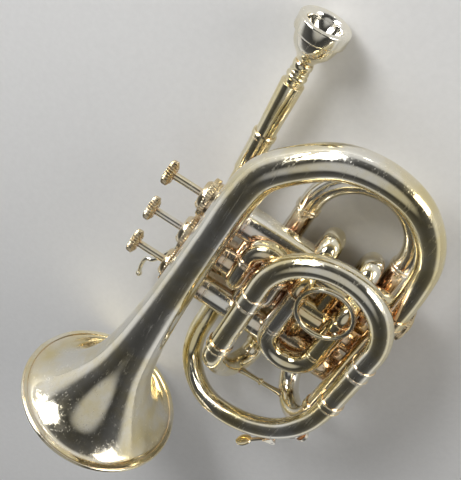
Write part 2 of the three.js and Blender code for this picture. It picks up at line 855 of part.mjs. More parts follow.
function buttonGeometry() {
  const top = buttonBottom + buttonThickness;
  const socketTop = buttonBottom + buttonSocketDepth;
  const socketRadius = bore(stemRadius, casingSides);
  const edge = buttonThickness / 4;
  return turnZ([
    [0, socketTop],
    [socketRadius, socketTop],
    [socketRadius, buttonBottom],
    [buttonRadius - edge, buttonBottom],
    [buttonRadius, buttonBottom + edge],
    [buttonRadius, top - edge / 2],
    [buttonRadius - edge / 2, top],
    [bore(pearlRadius, casingSides), top],
    [bore(pearlRadius, casingSides), top - pearlRecess],
    [0, top - pearlRecess],
  ], casingSides);
}

function pearlGeometry() {
  const bottom = buttonBottom + buttonThickness - pearlRecess + fitGap;
  return turnZ([
    [0, bottom],
    [pearlRadius, bottom],
    [pearlRadius, bottom + pearlThickness / 2],
    [pearlRadius * pearlCrownShare, bottom + pearlThickness],
    [0, bottom + pearlThickness],
  ], casingSides);
}

// Compression spring between the bottom cap's floor and the piston
function springGeometry() {
  const low = bottomCapFloor + springWire + fitGap;
  const high = pistonBottom - springWire - fitGap;
  const count = springTurns * springStepsPerTurn;
  const points = [];
  for (let i = 0; i <= count; i += 1) {
    const angle = (2 * Math.PI * i) / springStepsPerTurn;
    const height = mix(low, high, i / count);
    points.push(V(springRadius * Math.cos(angle), springRadius * Math.sin(angle), height));
  }
  return pipe(points, springWire, 0, springSides);
}

valveX.forEach((x, i) => {
  const number = i + 1;
  place(`casing_${number}`, casingGeometry(i), silver);
  place(`top_cap_${number}`, topCapGeometry(), silver).position.x = x;
  place(`bottom_cap_${number}`, bottomCapGeometry(), silver).position.x = x;
  place(`piston_${number}`, pistonGeometry(i), silver).position.x = x;
  place(`button_${number}`, buttonGeometry(), silver).position.x = x;
  place(`button_pearl_${number}`, pearlGeometry(), pearl).position.x = x;
  place(`valve_spring_${number}`, springGeometry(), steel).position.x = x;
});

// Knuckles between the casings
function knuckleGeometry(left, z) {
  const outer = passageRadius + knuckleWall;
  const tube = straight(V(left, 0, z), V(left + valvePitch, 0, z), outer, passageRadius, smallSides);
  return cut(tube, casingBody(left), casingBody(left + valvePitch));
}
place('knuckle_high_12', knuckleGeometry(valveX[0], knuckleHighZ[0]), silver);
place('knuckle_high_23', knuckleGeometry(valveX[1], knuckleHighZ[1]), silver);
place('knuckle_low_12', knuckleGeometry(valveX[0], knuckleLowZ[0]), silver);
place('knuckle_low_23', knuckleGeometry(valveX[1], knuckleLowZ[1]), silver);

// Tuning slide: outer sleeves, and the crook with its inner legs and two rings
const tuningBore = tuningRadius - tubeWall;
const tuningSleeves = [
  ['tuning_sleeve_high', tuningHighZ, tuningSleeveFront],
  ['tuning_sleeve_low', tuningLowZ, tuningLowFront],
];
tuningSleeves.forEach(([name, z, front]) => {
  const from = V(tuningRingFront + seatGap, tuningSide, z);
  place(name, straight(from, V(front, tuningSide, z), tuningRadius, tuningBore), silver);
});

const tuningRingRear = tuningRingFront - tuningRingLength;

// Crook of a slide that draws to the rear: bend, straight inner legs and a ring on each
function crookGeometry({ side, highZ, lowZ, x, ringRear, ringFront, ringRadius, outer, legTip }) {
  const legOuter = outer - tubeWall - slideClearance;
  const legInner = legOuter - tubeWall;
  const bend = crookPoints(x, side, highZ, lowZ, false);
  const shell = pipe([V(ringRear, side, highZ), ...bend, V(ringRear, side, lowZ)], outer, legInner);
  const legs = [highZ, lowZ].flatMap((z) => [
    straight(V(ringRear - tubeWall, side, z), V(legTip, side, z), legOuter, legInner),
    straight(V(ringRear - tubeWall, side, z), V(ringFront, side, z), ringRadius, legOuter - tubeWall / 2),
  ]);
  return join(shell, ...legs);
}
place('tuning_slide', crookGeometry({
  side: tuningSide,
  highZ: tuningHighZ,
  lowZ: tuningLowZ,
  x: tuningRingRear - tuningStraight,
  ringRear: tuningRingRear,
  ringFront: tuningRingFront,
  ringRadius: tuningRingRadius,
  outer: tuningRadius,
  legTip: tuningLowFront - overrun,
}), silver);

// First valve slide: two fixed inner legs from the casing, and the crook whose sleeves run over them
const firstBore = leftRadius - tubeWall;
const firstLegRadius = firstBore - slideClearance;
const firstSleeveRear = valveX[0] + elbowBend + leftGap;

function firstLegGeometry(z) {
  const points = [...elbowPoints(valveX[0], leftSide, z, true), V(firstLegFront, leftSide, z)];
  return cut(pipe(points, firstLegRadius, firstLegRadius - tubeWall), casingBody(valveX[0]));
}
place('first_leg_high', firstLegGeometry(firstHighZ), silver);
place('first_leg_low', firstLegGeometry(firstLowZ), silver);

function firstCrookGeometry() {
  const tube = pipe([
    V(firstSleeveRear, leftSide, firstHighZ),
    ...crookPoints(firstCrookX, leftSide, firstHighZ, firstLowZ, true),
    V(firstSleeveRear, leftSide, firstLowZ),
  ], leftRadius, firstBore);
  const ringFront = firstCrookX - slideRingLength / 2;
  const rings = [firstHighZ, firstLowZ].map((z) => straight(
    V(ringFront - slideRingLength, leftSide, z),
    V(ringFront, leftSide, z),
    leftRadius + slideRingWall / 2,
    leftRadius - tubeWall / 2,
  ));
  return join(tube, ...rings);
}
place('first_slide', firstCrookGeometry(), silver);

// Finger ring soldered on the sleeves by two feet
const fingerRingSide = leftSide + leftRadius + fingerRingWire + seatGap;
const fingerRingZ = (firstHighZ + firstLowZ) / 2 - fingerRingWire * 2;

function fingerRingGeometry() {
  const ring = new THREE.TorusGeometry(fingerRingRadius, fingerRingWire, smallSides, ringSteps);
  ring.rotateX(Math.PI / 2).translate(fingerRingX, fingerRingSide, fingerRingZ);
  const reach = Math.sqrt(fingerRingRadius ** 2 - (fingerFootX - fingerRingX) ** 2);
  const feet = [1, -1].map((side) => {
    const z = fingerRingZ + side * reach;
    return new THREE.BoxGeometry(fingerFootLength, fingerRingSide - leftSide, fingerFootLength)
      .translate(fingerFootX, (fingerRingSide + leftSide) / 2, z);
  });
  const sleeves = [firstHighZ, firstLowZ].map((z) => straight(
    V(firstSleeveRear - overrun, leftSide, z),
    V(firstCrookX, leftSide, z),
    leftRadius + seatGap,
  ));
  return cut(join(ring, ...feet), ...sleeves);
}
place('finger_ring', fingerRingGeometry(), silver);

// Valve slides with outer sleeves fixed to a casing and a crook with inner legs
function sleeveGeometry(x, side, z, rear, radius) {
  const points = [...elbowPoints(x, side, z, false), V(rear, side, z)];
  return cut(pipe(points, radius, radius - tubeWall), casingBody(x));
}

const secondSleeve = (z) => sleeveGeometry(valveX[1], leftSide, z, secondSleeveRear, leftRadius);
place('second_sleeve_high', secondSleeve(secondHighZ), silver);
place('second_sleeve_low', secondSleeve(secondLowZ), silver);
place('second_slide', crookGeometry({
  side: leftSide,
  highZ: secondHighZ,
  lowZ: secondLowZ,
  x: secondCrookX,
  ringRear: secondSleeveRear - seatGap - slideRingLength,
  ringFront: secondSleeveRear - seatGap,
  ringRadius: leftRadius + slideRingWall,
  outer: leftRadius,
  legTip: secondSleeveRear + secondInsert,
}), silver);

const thirdSleeve = (z) => sleeveGeometry(valveX[2], rightSide, z, thirdSleeveRear, sideRadius);
place('third_sleeve_high', thirdSleeve(thirdHighZ), silver);
place('third_sleeve_low', thirdSleeve(thirdLowZ), silver);
place('third_slide', crookGeometry({
  side: rightSide,
  highZ: thirdHighZ,
  lowZ: thirdLowZ,
  x: thirdCrookX,
  ringRear: thirdSleeveRear - seatGap - slideRingLength,
  ringFront: thirdSleeveRear - seatGap,
  ringRadius: sideRadius + slideRingWall,
  outer: sideRadius,
  legTip: thirdSleeveRear + thirdInsert,
}), silver);

// Little-finger hook on the leadpipe
const hookForwardShares = [0, 0.1, 0.34, 0.72, 1.22, 1.3, 1.54, 1.84];
const hookUpShares = [0, 0.22, 0.43, 0.61, 0.86, 1, 1.04, 1];
const hookRootShare = 0.8;
const hookBallShare = 1.5;
const hookSteps = 14;
const ballSteps = 6;
const hookRoot = frontPoints[0];

function hookGeometry() {
  const points = hookForwardShares.map((share, i) => V(
    hookRoot.x + share * hookHeight,
    leadSide - share * hookRadius,
    hookRoot.z + leadRadius * hookRootShare + hookUpShares[i] * hookHeight,
  ));
  const wire = sweep(new THREE.CatmullRomCurve3(points), hookSteps, hookRadius, 0, smallSides);
  const ball = new THREE.SphereGeometry(hookRadius * hookBallShare, smallSides, ballSteps);
  ball.translate(...points[points.length - 1]);
  const pipeBody = sweep(leadCurve, leadSteps, leadRadius + seatGap, 0);
  return cut(join(wire, ball), pipeBody);
}
place('finger_hook', hookGeometry(), silver);

// Braces: pads between bell and casings, between leadpipe and casings, and a front stay between the bows
function bellPadGeometry(x) {
  const box = new THREE.BoxGeometry(braceLength, bellSide, braceHeight);
  box.translate(x, bellSide / 2, casingTop - capSkirtLength - braceHeight);
  const outline = bellOutside(seatGap);
  const flare = turnX([...outline, [0, -bellLength], [0, 0]], bellSides);
  flare.rotateY(-bellTilt).translate(rimX, bellSide, rimZ);
  return cut(box, casingBody(x), flare);
}

function leadPadGeometry(x) {
  const side = leadSide / 2;
  const box = new THREE.BoxGeometry(braceLength, -leadSide, braceHeight);
  box.translate(x, side, leadPoint(x).z - capSkirtLength / 2);
  const pipeBody = straight(leadPoint(x - braceLength), leadPoint(x + braceLength), leadRadius + seatGap);
  return cut(box, casingBody(x), pipeBody);
}
// The bell is braced to the first casing that stands clear of its joint with the bow
const bellBraceX = valveX.find((x) => x > bellTail.x + socketLength + braceLength);
place('bell_brace', bellPadGeometry(bellBraceX), silver);
place('lead_brace', leadPadGeometry(valveX[0]), silver);

function frontStayGeometry() {
  const lowPoints = lowBowPoints();
  const highPoints = highBowPoints();
  const lowMiddle = lowPoints[lowPoints.length / 2 - 1 / 2];
  const highMiddle = highPoints[highStayIndex];
  const rod = straight(lowMiddle, highMiddle, stayRadius, 0, smallSides);
  const highBody = sweep(new THREE.CatmullRomCurve3(highPoints), highBowSteps, sideRadius + seatGap, 0);
  return cut(rod, highBody, pipe(lowPoints, sideRadius + seatGap, 0));
}
place('front_stay', frontStayGeometry(), silver);

// Water key: its frame has X along the lever towards the paddle, Y across it and Z away from the bow
const keyGroup = new THREE.Group();
keyGroup.position.copy(keyRoot);
keyGroup.quaternion.setFromRotationMatrix(new THREE.Matrix4().makeBasis(keyAlong, keySide, keyOut));
keyGroup.updateMatrixWorld();
trumpet.add(keyGroup);

const frontBowLength = frontBowCurve.getLength();
const keyFrameInverse = keyGroup.matrixWorld.clone().invert();
const keyLocal = (distance) => frontBowCurve
  .getPointAt(keyShare - distance / frontBowLength)
  .applyMatrix4(keyFrameInverse);
const pivotUnder = keyLocal(keyArm);
const paddleUnder = keyLocal(keyArm + keyPaddle);
const pivot = V(pivotUnder.x, 0, pivotUnder.z + frontRadius + keyPivotLift);
const corkBottom = frontRadius + nippleHeight + fitGap;
const corkTop = corkBottom + corkThickness;

// The lever's side view, as an outline in X and Z
function leverOutline() {
  const half = keyThickness / 2;
  const middle = [
    [-corkRadius, corkTop + half],
    [corkRadius, corkTop + half],
    [pivot.x, pivot.z],
    [paddleUnder.x, paddleUnder.z + frontRadius + keyPaddleLift],
  ];
  const upper = middle.map(([x, z]) => new THREE.Vector2(x, z + half));
  const lower = middle.map(([x, z]) => new THREE.Vector2(x, z - half)).reverse();
  return [...upper, ...lower];
}

// Extrudes an outline in X and Z evenly to both sides of the lever's plane
function acrossKey(outline, width) {
  const flat = new THREE.ExtrudeGeometry(new THREE.Shape(outline), { depth: width, bevelEnabled: false });
  return flat.rotateX(Math.PI / 2).translate(0, width / 2, 0);
}

function keyLeverGeometry() {
  const bar = acrossKey(leverOutline(), keyWidth / 2);
  const end = V(paddleUnder.x, 0, paddleUnder.z + frontRadius + keyPaddleLift);
  const slope = end.clone().sub(pivot).normalize();
  const paddle = new THREE.BoxGeometry(keyPaddleLength, keyPaddleWidth, keyThickness);
  paddle.rotateY(-Math.atan2(slope.z, slope.x)).translate(end.x, 0, end.z);
  const cupTop = corkTop + keyThickness;
  const cupBottom = corkTop - corkThickness / 2;
  const cup = straight(V(0, 0, cupBottom), V(0, 0, cupTop), corkRadius + corkCupWall + fitGap);
  const pocket = straight(V(0, 0, cupBottom - overrun), V(0, 0, corkTop + fitGap), bore(corkRadius));
  const halfTube = V(0, keyWidth / 2, 0);
  const tube = straight(pivot.clone().sub(halfTube), pivot.clone().add(halfTube), keyTubeRadius);
  const wide = V(0, keyWidth, 0);
  const holeRadius = keyPinRadius + slideClearance;
  const pinHole = straight(pivot.clone().sub(wide), pivot.clone().add(wide), holeRadius);
  return cut(join(bar, paddle, cup, tube), pocket, pinHole);
}

function keyCorkGeometry() {
  return straight(V(0, 0, corkBottom), V(0, 0, corkTop), corkRadius);
}

function keySaddleGeometry() {
  const inner = keyWidth / 2 + keyEarGap;
  const outer = inner + keyEarWall;
  const foot = pivotUnder.z + frontRadius - keyEarWall * 2;
  const base = new THREE.BoxGeometry(keyTubeRadius * 4, outer * 2, pivot.z + keyTubeRadius - foot);
  base.translate(pivot.x, 0, (pivot.z + keyTubeRadius + foot) / 2);
  const slotBottom = pivot.z - keyTubeRadius - seatGap;
  const slotTop = pivot.z + keyTubeRadius + overrun;
  const slot = new THREE.BoxGeometry(keyTubeRadius * 4 + overrun, inner * 2, slotTop - slotBottom);
  slot.translate(pivot.x, 0, (slotTop + slotBottom) / 2);
  const pinHole = straight(
    V(pivot.x, -outer - overrun, pivot.z),
    V(pivot.x, outer + overrun, pivot.z),
    bore(keyPinRadius, smallSides),
    0,
    smallSides,
  );
  const points = frontBowCurve.getSpacedPoints(frontBowSteps);
  points.forEach((point) => point.applyMatrix4(keyFrameInverse));
  const bow = pipe(points, frontRadius + seatGap, 0);
  return cut(base, slot, pinHole, bow);
}

// Pin with a head at one end
function keyPinGeometry() {
  const outer = keyWidth / 2 + keyEarGap + keyEarWall;
  const rodEnd = V(pivot.x, outer + solderGap, pivot.z);
  const rod = straight(V(pivot.x, -outer, pivot.z), rodEnd, keyPinRadius, 0, smallSides);
  const head = straight(
    V(pivot.x, outer + fitGap, pivot.z),
    V(pivot.x, outer + keyEarWall, pivot.z),
    keyTubeRadius,
    0,
    smallSides,
  );
  return join(rod, head);
}
place('key_saddle', keySaddleGeometry(), silver, keyGroup);
place('key_pin', keyPinGeometry(), steel, keyGroup);
place('key_lever', keyLeverGeometry(), silver, keyGroup);
place('key_cork', keyCorkGeometry(), cork, keyGroup);

export default trumpet;
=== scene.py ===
"""Visual model of a pocket trumpet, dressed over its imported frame.

Shapes are in millimetres, and are scaled to metres where they become meshes.
"""
import math

import bmesh
import bpy
import numpy as np
from mathutils import Matrix, Vector


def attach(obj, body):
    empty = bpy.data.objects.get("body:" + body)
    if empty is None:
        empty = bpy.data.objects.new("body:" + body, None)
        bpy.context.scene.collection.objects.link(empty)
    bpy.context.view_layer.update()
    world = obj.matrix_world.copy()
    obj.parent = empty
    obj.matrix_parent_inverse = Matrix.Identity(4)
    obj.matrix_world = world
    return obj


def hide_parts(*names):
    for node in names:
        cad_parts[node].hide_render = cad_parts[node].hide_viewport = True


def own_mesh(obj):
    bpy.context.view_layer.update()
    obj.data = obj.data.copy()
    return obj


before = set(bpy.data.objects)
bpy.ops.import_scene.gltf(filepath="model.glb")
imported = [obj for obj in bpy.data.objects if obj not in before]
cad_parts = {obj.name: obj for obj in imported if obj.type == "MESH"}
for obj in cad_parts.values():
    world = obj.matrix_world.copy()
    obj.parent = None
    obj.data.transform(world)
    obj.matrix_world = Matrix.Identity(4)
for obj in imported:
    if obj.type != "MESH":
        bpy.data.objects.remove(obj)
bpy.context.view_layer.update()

METRES = 0.001

# Fineness of the meshes
SIDES = 40
FINE_SIDES = 72
BELL_SIDES = 120
WIRE_SIDES = 20
BALL_SIDES = 8
STEP = 1.6
FINE_STEP = 0.8
TRIM_STEP = 0.4
PROFILE_STEP = 0.6
BELL_STEP = 1.0
HOOK_STEP = 0.7
KEY_STEP = 0.5
ARC_COUNT = 48
CROOK_COUNT = 64
ELBOW_COUNT = 18
BEAD_COUNT = 9
RIM_COUNT = 16
NECK_COUNT = 8
BALL_COUNT = 7
EAR_COUNT = 15
CURVE_DENSITY = 60

# Radius that counts as being on the axis, and cosine that counts as parallel
ON_AXIS = 0.01
NEAR_PARALLEL = 0.99

# Fits
SEAT_GAP = 0.25
SLIDE_CLEARANCE = 0.06
FIT_GAP = 0.05
TUBE_WALL = 0.65
EDGE_BEVEL = 0.16
EDGE_ANGLE = math.radians(34)
STUB = 3

# Valve block
VALVE_PITCH = 27.4
CASING_RADIUS = 9.5
CASING_WALL = 1.05
CASING_TOP = 49.5
CASING_BOTTOM = -66
CASING_RING_Z = 26
PISTON_RADIUS = 8.38
PISTON_TOP = 26
PISTON_BOTTOM = -48
PISTON_TRAVEL = 16.2
PASSAGE_RADIUS = 4.6
STEM_RADIUS = 2.2
STEM_HOLE = 2.27
SPRING_RADIUS = 6
SPRING_WIRE = 0.7
SPRING_TURNS = 5
SPRING_STEPS = 24
SPRING_SIDES = 10
VALVE_X = (-VALVE_PITCH, 0, VALVE_PITCH)

# Caps
SKIRT_RADIUS = 10.3
SKIRT_LENGTH = 6
FLANGE_RADIUS = 11.3
FLANGE_THICKNESS = 3
DOME_RADIUS = 8.6
DOME_HEIGHT = 2.9
LOW_CAP_RADIUS = 10.2
LOW_CAP_TOP = -62
LOW_CAP_FLOOR = -71.5
LOW_CAP_WALL = 2
NUB_RADIUS = 5
NUB_HEIGHT = 1.6
VENT_RADIUS = 1.5
KNURL_DEPTH = 0.34
KNURL_COUNT = 44
KNURL_SIDES = KNURL_COUNT * 6

# Buttons
BUTTON_RADIUS = 7.25
BUTTON_STOP = 1.15
BUTTON_THICKNESS = 4.6
BUTTON_BEAD = 0.85
BUTTON_BEADS = 16
BUTTON_KNURLS = 26
BUTTON_KNURL_DEPTH = 0.7
BUTTON_SIDES = BUTTON_KNURLS * 8
PEARL_RADIUS = 5.1
PEARL_THICKNESS = 1.3
PEARL_RECESS = 1
PEARL_DISH = ((1, 0.5), (0.97, 0.22), (0.9, 0.05), (0.8, 0.0), (0.6, 0.1), (0.35, 0.2), (0.1, 0.24))

# Knuckles
KNUCKLE_HIGH_Z = (18, 8)
KNUCKLE_LOW_Z = (-32, -26)
KNUCKLE_WALL = 1.3

# Side tubes
SIDE_GAP = 0.6
SIDE_RADIUS = 6.3
LEFT_GAP = 1.0
LEFT_RADIUS = 6.0
ELBOW_BEND = 7
SOCKET_WALL = 0.6
SOCKET_LENGTH = 7
SOCKET_INSERT = 4
BEAD_HEIGHT = 0.3
BEAD_WIDTH = 1.0

# Tuning slide
TUNING_RADIUS = 6.4
TUNING_GAP = 2.4
TUNING_HIGH_Z = 3.7
TUNING_LOW_Z = -63
TUNING_Z = (TUNING_HIGH_Z, TUNING_LOW_Z)
TUNING_RING_FRONT = -6.8
TUNING_RING_LENGTH = 8.3
TUNING_RING_RADIUS = 7.1
TUNING_STRAIGHT = 7
TUNING_HIGH_FRONT = 30.4
TUNING_LOW_FRONT = 22

# Valve slides, each with its high and its low tube
LEVELS = ("high", "low")
FIRST_Z = (-15.5, -42.9)
FIRST_CROOK_X = 13
FIRST_LEG_FRONT = 6
SECOND_Z = (15.3, -2.2)
SECOND_SLEEVE_REAR = -18
SECOND_CROOK_X = -22.5
SECOND_INSERT = 10
THIRD_Z = (3.8, -55.2)
THIRD_SLEEVE_REAR = -44
THIRD_CROOK_X = -50
THIRD_INSERT = 32
RING_WALL = 0.8
RING_LENGTH = 3

# Finger ring
FINGER_RADIUS = 15.2
FINGER_WIRE = 1.45
FINGER_X = -23
FINGER_COUNT = 96
FINGER_FOOT_X = -13.5
FINGER_FOOT_REACH = 0.98
FINGER_FOOT_SLIM = 0.8
FINGER_FOOT_WIDE = 1.5

# Bell and bow; shares are (back, flare) and (back, side, drop)
RIM_X = 137.4
RIM_Z = 46.05
RIM_RADIUS = 50.7
RIM_BEAD = 1.2
BELL_TILT = 0.05
BELL_LENGTH = 162.4
BELL_WALL = 0.8
BELL_TAIL = 9.7
BELL_GAP = 1.4
BELL_VALVE_RADIUS = 11.4
BELL_SHARES = (
    (0.016, 0.87),
    (0.05, 0.685),
    (0.093, 0.537),
    (0.155, 0.385),
    (0.246, 0.238),
    (0.37, 0.14),
    (0.55, 0.065),
    (0.78, 0.018),
    (1, 0),
)
BOW_REACH = 67.5
BOW_LOW_Z = -61.6
BOW_LOW_RADIUS = 6.5
BOW_END_X = -40
BOW_SHARES = (
    (0.13, 0, 0.005),
    (0.36, 0, 0.018),
    (0.59, 0, 0.06),
    (0.79, 0, 0.185),
    (0.945, 0, 0.345),
    (1, 0, 0.535),
    (0.96, 0.1, 0.725),
    (0.83, 0.45, 0.865),
    (0.65, 0.9, 0.955),
    (0.44, 1, 0.99),
    (0.27, 1, 1),
)
BOW_TAPER_SHARES = (0, 0.02, 0.05, 0.09, 0.14, 0.22, 0.34, 0.52, 0.68, 0.83, 0.93, 1)
LOW_LEG_GAP = 0.5

# Return tubes; shares are (front, side, drop)
LOW_LEG_FRONT = 45
LOW_RETURN_Z = -41.2
HIGH_RETURN_Z = -17
WRAP_X = -33
HIGH_RETURN_FRONT = 57
HIGH_BOW_REACH = 70
HIGH_BOW_SHARES = (
    (0.2, 0.005, 0.01),
    (0.5, 0.19, 0.18),
    (0.81, 0.41, 0.42),
    (1, 0.665, 0.71),
    (0.93, 0.92, 0.97),
)
HIGH_STAY_INDEX = 5

# Leadpipe and front bow; shares are (reach, side, rise)
LEAD_RADIUS = 5.3
LEAD_HEIGHT = 42
LEAD_TILT = 0.024
LEAD_GAP = 0.5
LEAD_START = -50
LEAD_END = 0
FRONT_RADIUS = 6.0
FRONT_REACH = 88
FRONT_RISE = 105
FRONT_SHARES = (
    (0.19, 0, 0.945),
    (0.35, 0, 0.84),
    (0.495, 0.04, 0.774),
    (0.64, 0.08, 0.765),
    (0.789, 0.16, 0.761),
    (0.917, 0.286, 0.727),
    (0.982, 0.433, 0.661),
    (1.016, 0.58, 0.57),
    (1, 0.706, 0.473),
    (0.945, 0.811, 0.357),
    (0.849, 0.9, 0.232),
    (0.725, 0.965, 0.13),
    (0.597, 1, 0.065),
    (0.453, 1, 0.018),
)
RIDGE_RADIUS = 7.1
RIDGE_LENGTH = 2
RIDGE_GROOVE = 0.6
RIDGE_COUNT = 3
FERRULE_INDEX = 2
RECEIVER_MOUTH = -70.6
RECEIVER_LENGTH = 28
RECEIVER_BODY = 6.1
RECEIVER_RING = 6.6
RECEIVER_RING_LENGTH = 3.4

# Mouthpiece; shares are (radius, along), and (start, end, radius) for the neck
FACE_X = -138.9
MOUTH_LENGTH = 88
MOUTH_RIM = 13.6
MOUTH_RIM_HEIGHT = 8
MOUTH_CUP = 11.7
MOUTH_CUP_DEPTH = 11.5
MOUTH_NECK = 4.2
MOUTH_BEAD = 5.6
MOUTH_TIP = 5
MOUTH_THROAT = 1.85
MOUTH_TAPER = 0.025
CUP_SHARES = ((0.72, 0.06), (0.66, 0.16), (0.59, 0.4), (0.42, 0.75), (0.22, 0.95))
RIM_SHARES = (
    (0.8, 0),
    (0.9, 0),
    (0.97, 0.04),
    (0.995, 0.1),
    (1, 0.18),
    (1, 0.84),
    (0.985, 0.95),
    (0.955, 1),
)
BODY_SHARES = (
    (1, 0.105),
    (0.965, 0.13),
    (0.9, 0.158),
    (0.78, 0.185),
    (0.64, 0.208),
    (0.53, 0.225),
    (0.42, 0.25),
)
NECK_SHARES = ((0.265, 0.305, 0.95), (0.32, 0.335, 0.92), (0.345, 0.375, 1))
NECK_FULLNESS = 0.6
VALLEY_SHARE = 0.45

# Water key
KEY_SHARE = 0.802
KEY_LEAN = (-0.31, -0.92, 0.25)
KEY_ARM = 20
KEY_PADDLE = 22
KEY_WIDTH = 4.6
KEY_THICKNESS = 1.4
KEY_PADDLE_WIDTH = 7.4
KEY_PADDLE_LENGTH = 11
KEY_PADDLE_LIFT = 6.8
KEY_PADDLE_THINNING = 0.75
KEY_PIVOT_LIFT = 3.4
KEY_TUBE = 1.9
KEY_PIN = 0.9
KEY_EAR = 1.2
KEY_EAR_GAP = 0.12
KEY_EAR_FOOT = 1.8
KEY_EAR_WRAP = 0.2
SADDLE_PLATE = 0.8
SADDLE_RINGS = 5
CORK_RADIUS = 3.2
CORK_THICKNESS = 2.8
CORK_CUP_WALL = 0.7
NIPPLE_RADIUS = 2.6
NIPPLE_HEIGHT = 1.8

# Hook, with its shares (forward, up), and stay
HOOK_RADIUS = 1.4
HOOK_HEIGHT = 26.5
HOOK_BALL = HOOK_RADIUS * 1.5
HOOK_BALL_COUNT = 14
HOOK_FOOT_LENGTH = HOOK_RADIUS * 4
HOOK_ROOT_SHARE = 0.8
HOOK_SHARES = (
    (0, 0),
    (0.1, 0.22),
    (0.34, 0.43),
    (0.72, 0.61),
    (1.22, 0.86),
    (1.3, 1),
    (1.54, 1.04),
    (1.84, 1),
)
STAY_RADIUS = 2.4
STAY_WAIST = 0.62
STAY_RING = 0.6

# Tarnish and painted shade, in metres: reach of the corner tarnish and painted shade, reach of the painted
# shade in a groove, and the Y of the side that lies on the table
CORNER_REACH = 0.012
GROOVE_REACH = 0.0012
TABLE_SIDE = -0.019

# Places across the instrument and along the valves
RIGHT = -(CASING_RADIUS + SIDE_GAP + SIDE_RADIUS)
LEFT = CASING_RADIUS + LEFT_GAP + LEFT_RADIUS
TUNING = LEFT + LEFT_RADIUS + TUNING_GAP + TUNING_RADIUS
LEAD = -(SKIRT_RADIUS + LEAD_GAP + LEAD_RADIUS)
BELL = CASING_RADIUS + BELL_GAP + BELL_VALVE_RADIUS
LOW_LEG = LOW_CAP_RADIUS + LOW_LEG_GAP + BOW_LOW_RADIUS
CAP_TOP = CASING_TOP + SEAT_GAP + FLANGE_THICKNESS + DOME_HEIGHT
BUTTON_BOTTOM = CAP_TOP + PISTON_TRAVEL + BUTTON_STOP
BUTTON_TOP = BUTTON_BOTTOM + BUTTON_THICKNESS


def point(x, y, z):
    return np.array((x, y, z), float)


X_AXIS = point(1, 0, 0)
Y_AXIS = point(0, 1, 0)
Z_AXIS = point(0, 0, 1)


def mix(a, b, share):
    return a + (b - a) * share


def knots_between(start, end, shares):
    """Points whose X, Y and Z each have their own share of the way from start to end."""
    return [mix(start, end, point(*share)) for share in shares]


def unit(vector):
    return vector / np.linalg.norm(vector)


class Shape:
    """Vertices and faces gathered from lofts, in millimetres."""

    def __init__(self):
        self.points = []
        self.faces = []

    def loft(self, rings, closed=False, caps=False):
        """Skin over rings of equal count; closed joins the last ring to the first."""
        rings = np.asarray(rings, float)
        first = len(self.points)
        count, sides = rings.shape[:2]
        self.points.extend(rings.reshape(-1, 3))
        spans = count if closed else count - 1
        for i in range(spans):
            here = first + i * sides
            there = first + ((i + 1) % count) * sides
            for k in range(sides):
                following = (k + 1) % sides
                self.faces.append((here + k, here + following, there + following, there + k))
        if caps:
            last = first + (count - 1) * sides
            self.faces.append(tuple(first + k for k in reversed(range(sides))))
            self.faces.append(tuple(last + k for k in range(sides)))
        return self


def transport(points):
    """Two cross arms at each point of a path, carried along without twist."""
    steps = np.diff(points, axis=0)
    steps /= np.linalg.norm(steps, axis=1)[:, None]
    ahead = np.vstack([steps[:1], steps[:-1] + steps[1:], steps[-1:]])
    ahead /= np.linalg.norm(ahead, axis=1)[:, None]
    start = Z_AXIS if abs(ahead[0] @ Z_AXIS) < abs(ahead[0] @ Y_AXIS) else Y_AXIS
    arm = unit(start - ahead[0] * (start @ ahead[0]))
    arms = []
    for direction in ahead:
        arm = unit(arm - direction * (arm @ direction))
        arms.append(arm)
    arms = np.array(arms)
    return arms, np.cross(ahead, arms)


def around(sides):
    """Angles of a full circle, without a repeated one."""
    return np.linspace(0, 2 * math.pi, sides, endpoint=False)


def swung(angles, arm_a, arm_b):
    """Points of an oval about zero, from arm_a at angle 0 towards arm_b."""
    return np.outer(np.cos(angles), arm_a) + np.outer(np.sin(angles), arm_b)


def rings_along(points, radii, sides):
    points = np.asarray(points, float)
    across, over = transport(points)
    turns = around(sides)
    radii = np.broadcast_to(radii, len(points))[:, None, None]
    circle = across[:, None] * np.cos(turns)[None, :, None] + over[:, None] * np.sin(turns)[None, :, None]
    return points[:, None] + radii * circle


def tube(points, outer, inner=0, sides=SIDES, shape=None):
    """Tube, or rod when inner is zero, along points; radii may be one value or one per point."""
    shape = shape or Shape()
    skin = rings_along(points, outer, sides)
    if np.max(inner) <= 0:
        return shape.loft(skin, caps=True)
    lining = rings_along(points, inner, sides)[::-1]
    return shape.loft(np.concatenate([skin, lining]), closed=True)


def pipe(points, radius, sides=SIDES):
    """Tube with the usual wall."""
    return tube(points, radius, radius - TUBE_WALL, sides)


def turned(shape, profile, place, sides=SIDES, ripple=None):
    """Closed profile of (radius, along) pairs turned about the place's X axis.

    A ripple gives what each row's radius gains at each angle.
    """
    turns = around(sides)
    rings = []
    for i, (radius, along) in enumerate(profile):
        radii = radius + (ripple(i, turns) if ripple else np.zeros(sides))
        local = np.stack([np.full(sides, along), radii * np.cos(turns), radii * np.sin(turns)], axis=1)
        rings.append(local @ place[:3, :3].T + place[:3, 3])
    solid = profile[0][0] <= FIT_GAP and profile[-1][0] <= FIT_GAP
    return shape.loft(rings, closed=not solid, caps=solid)


def placed(origin, direction=X_AXIS, side=Z_AXIS):
    """Matrix whose X axis runs along direction from origin."""
    ahead = unit(np.asarray(direction, float))
    leaning = side @ ahead
    across = unit(side - ahead * leaning if abs(leaning) < NEAR_PARALLEL else np.cross(ahead, Y_AXIS))
    matrix = np.eye(4)
    matrix[:3, 0] = ahead
    matrix[:3, 1] = across
    matrix[:3, 2] = np.cross(ahead, across)
    matrix[:3, 3] = origin
    return matrix


def straight(start, end, step=STEP):
    count = max(2, int(np.linalg.norm(end - start) / step))
    return np.linspace(start, end, count)


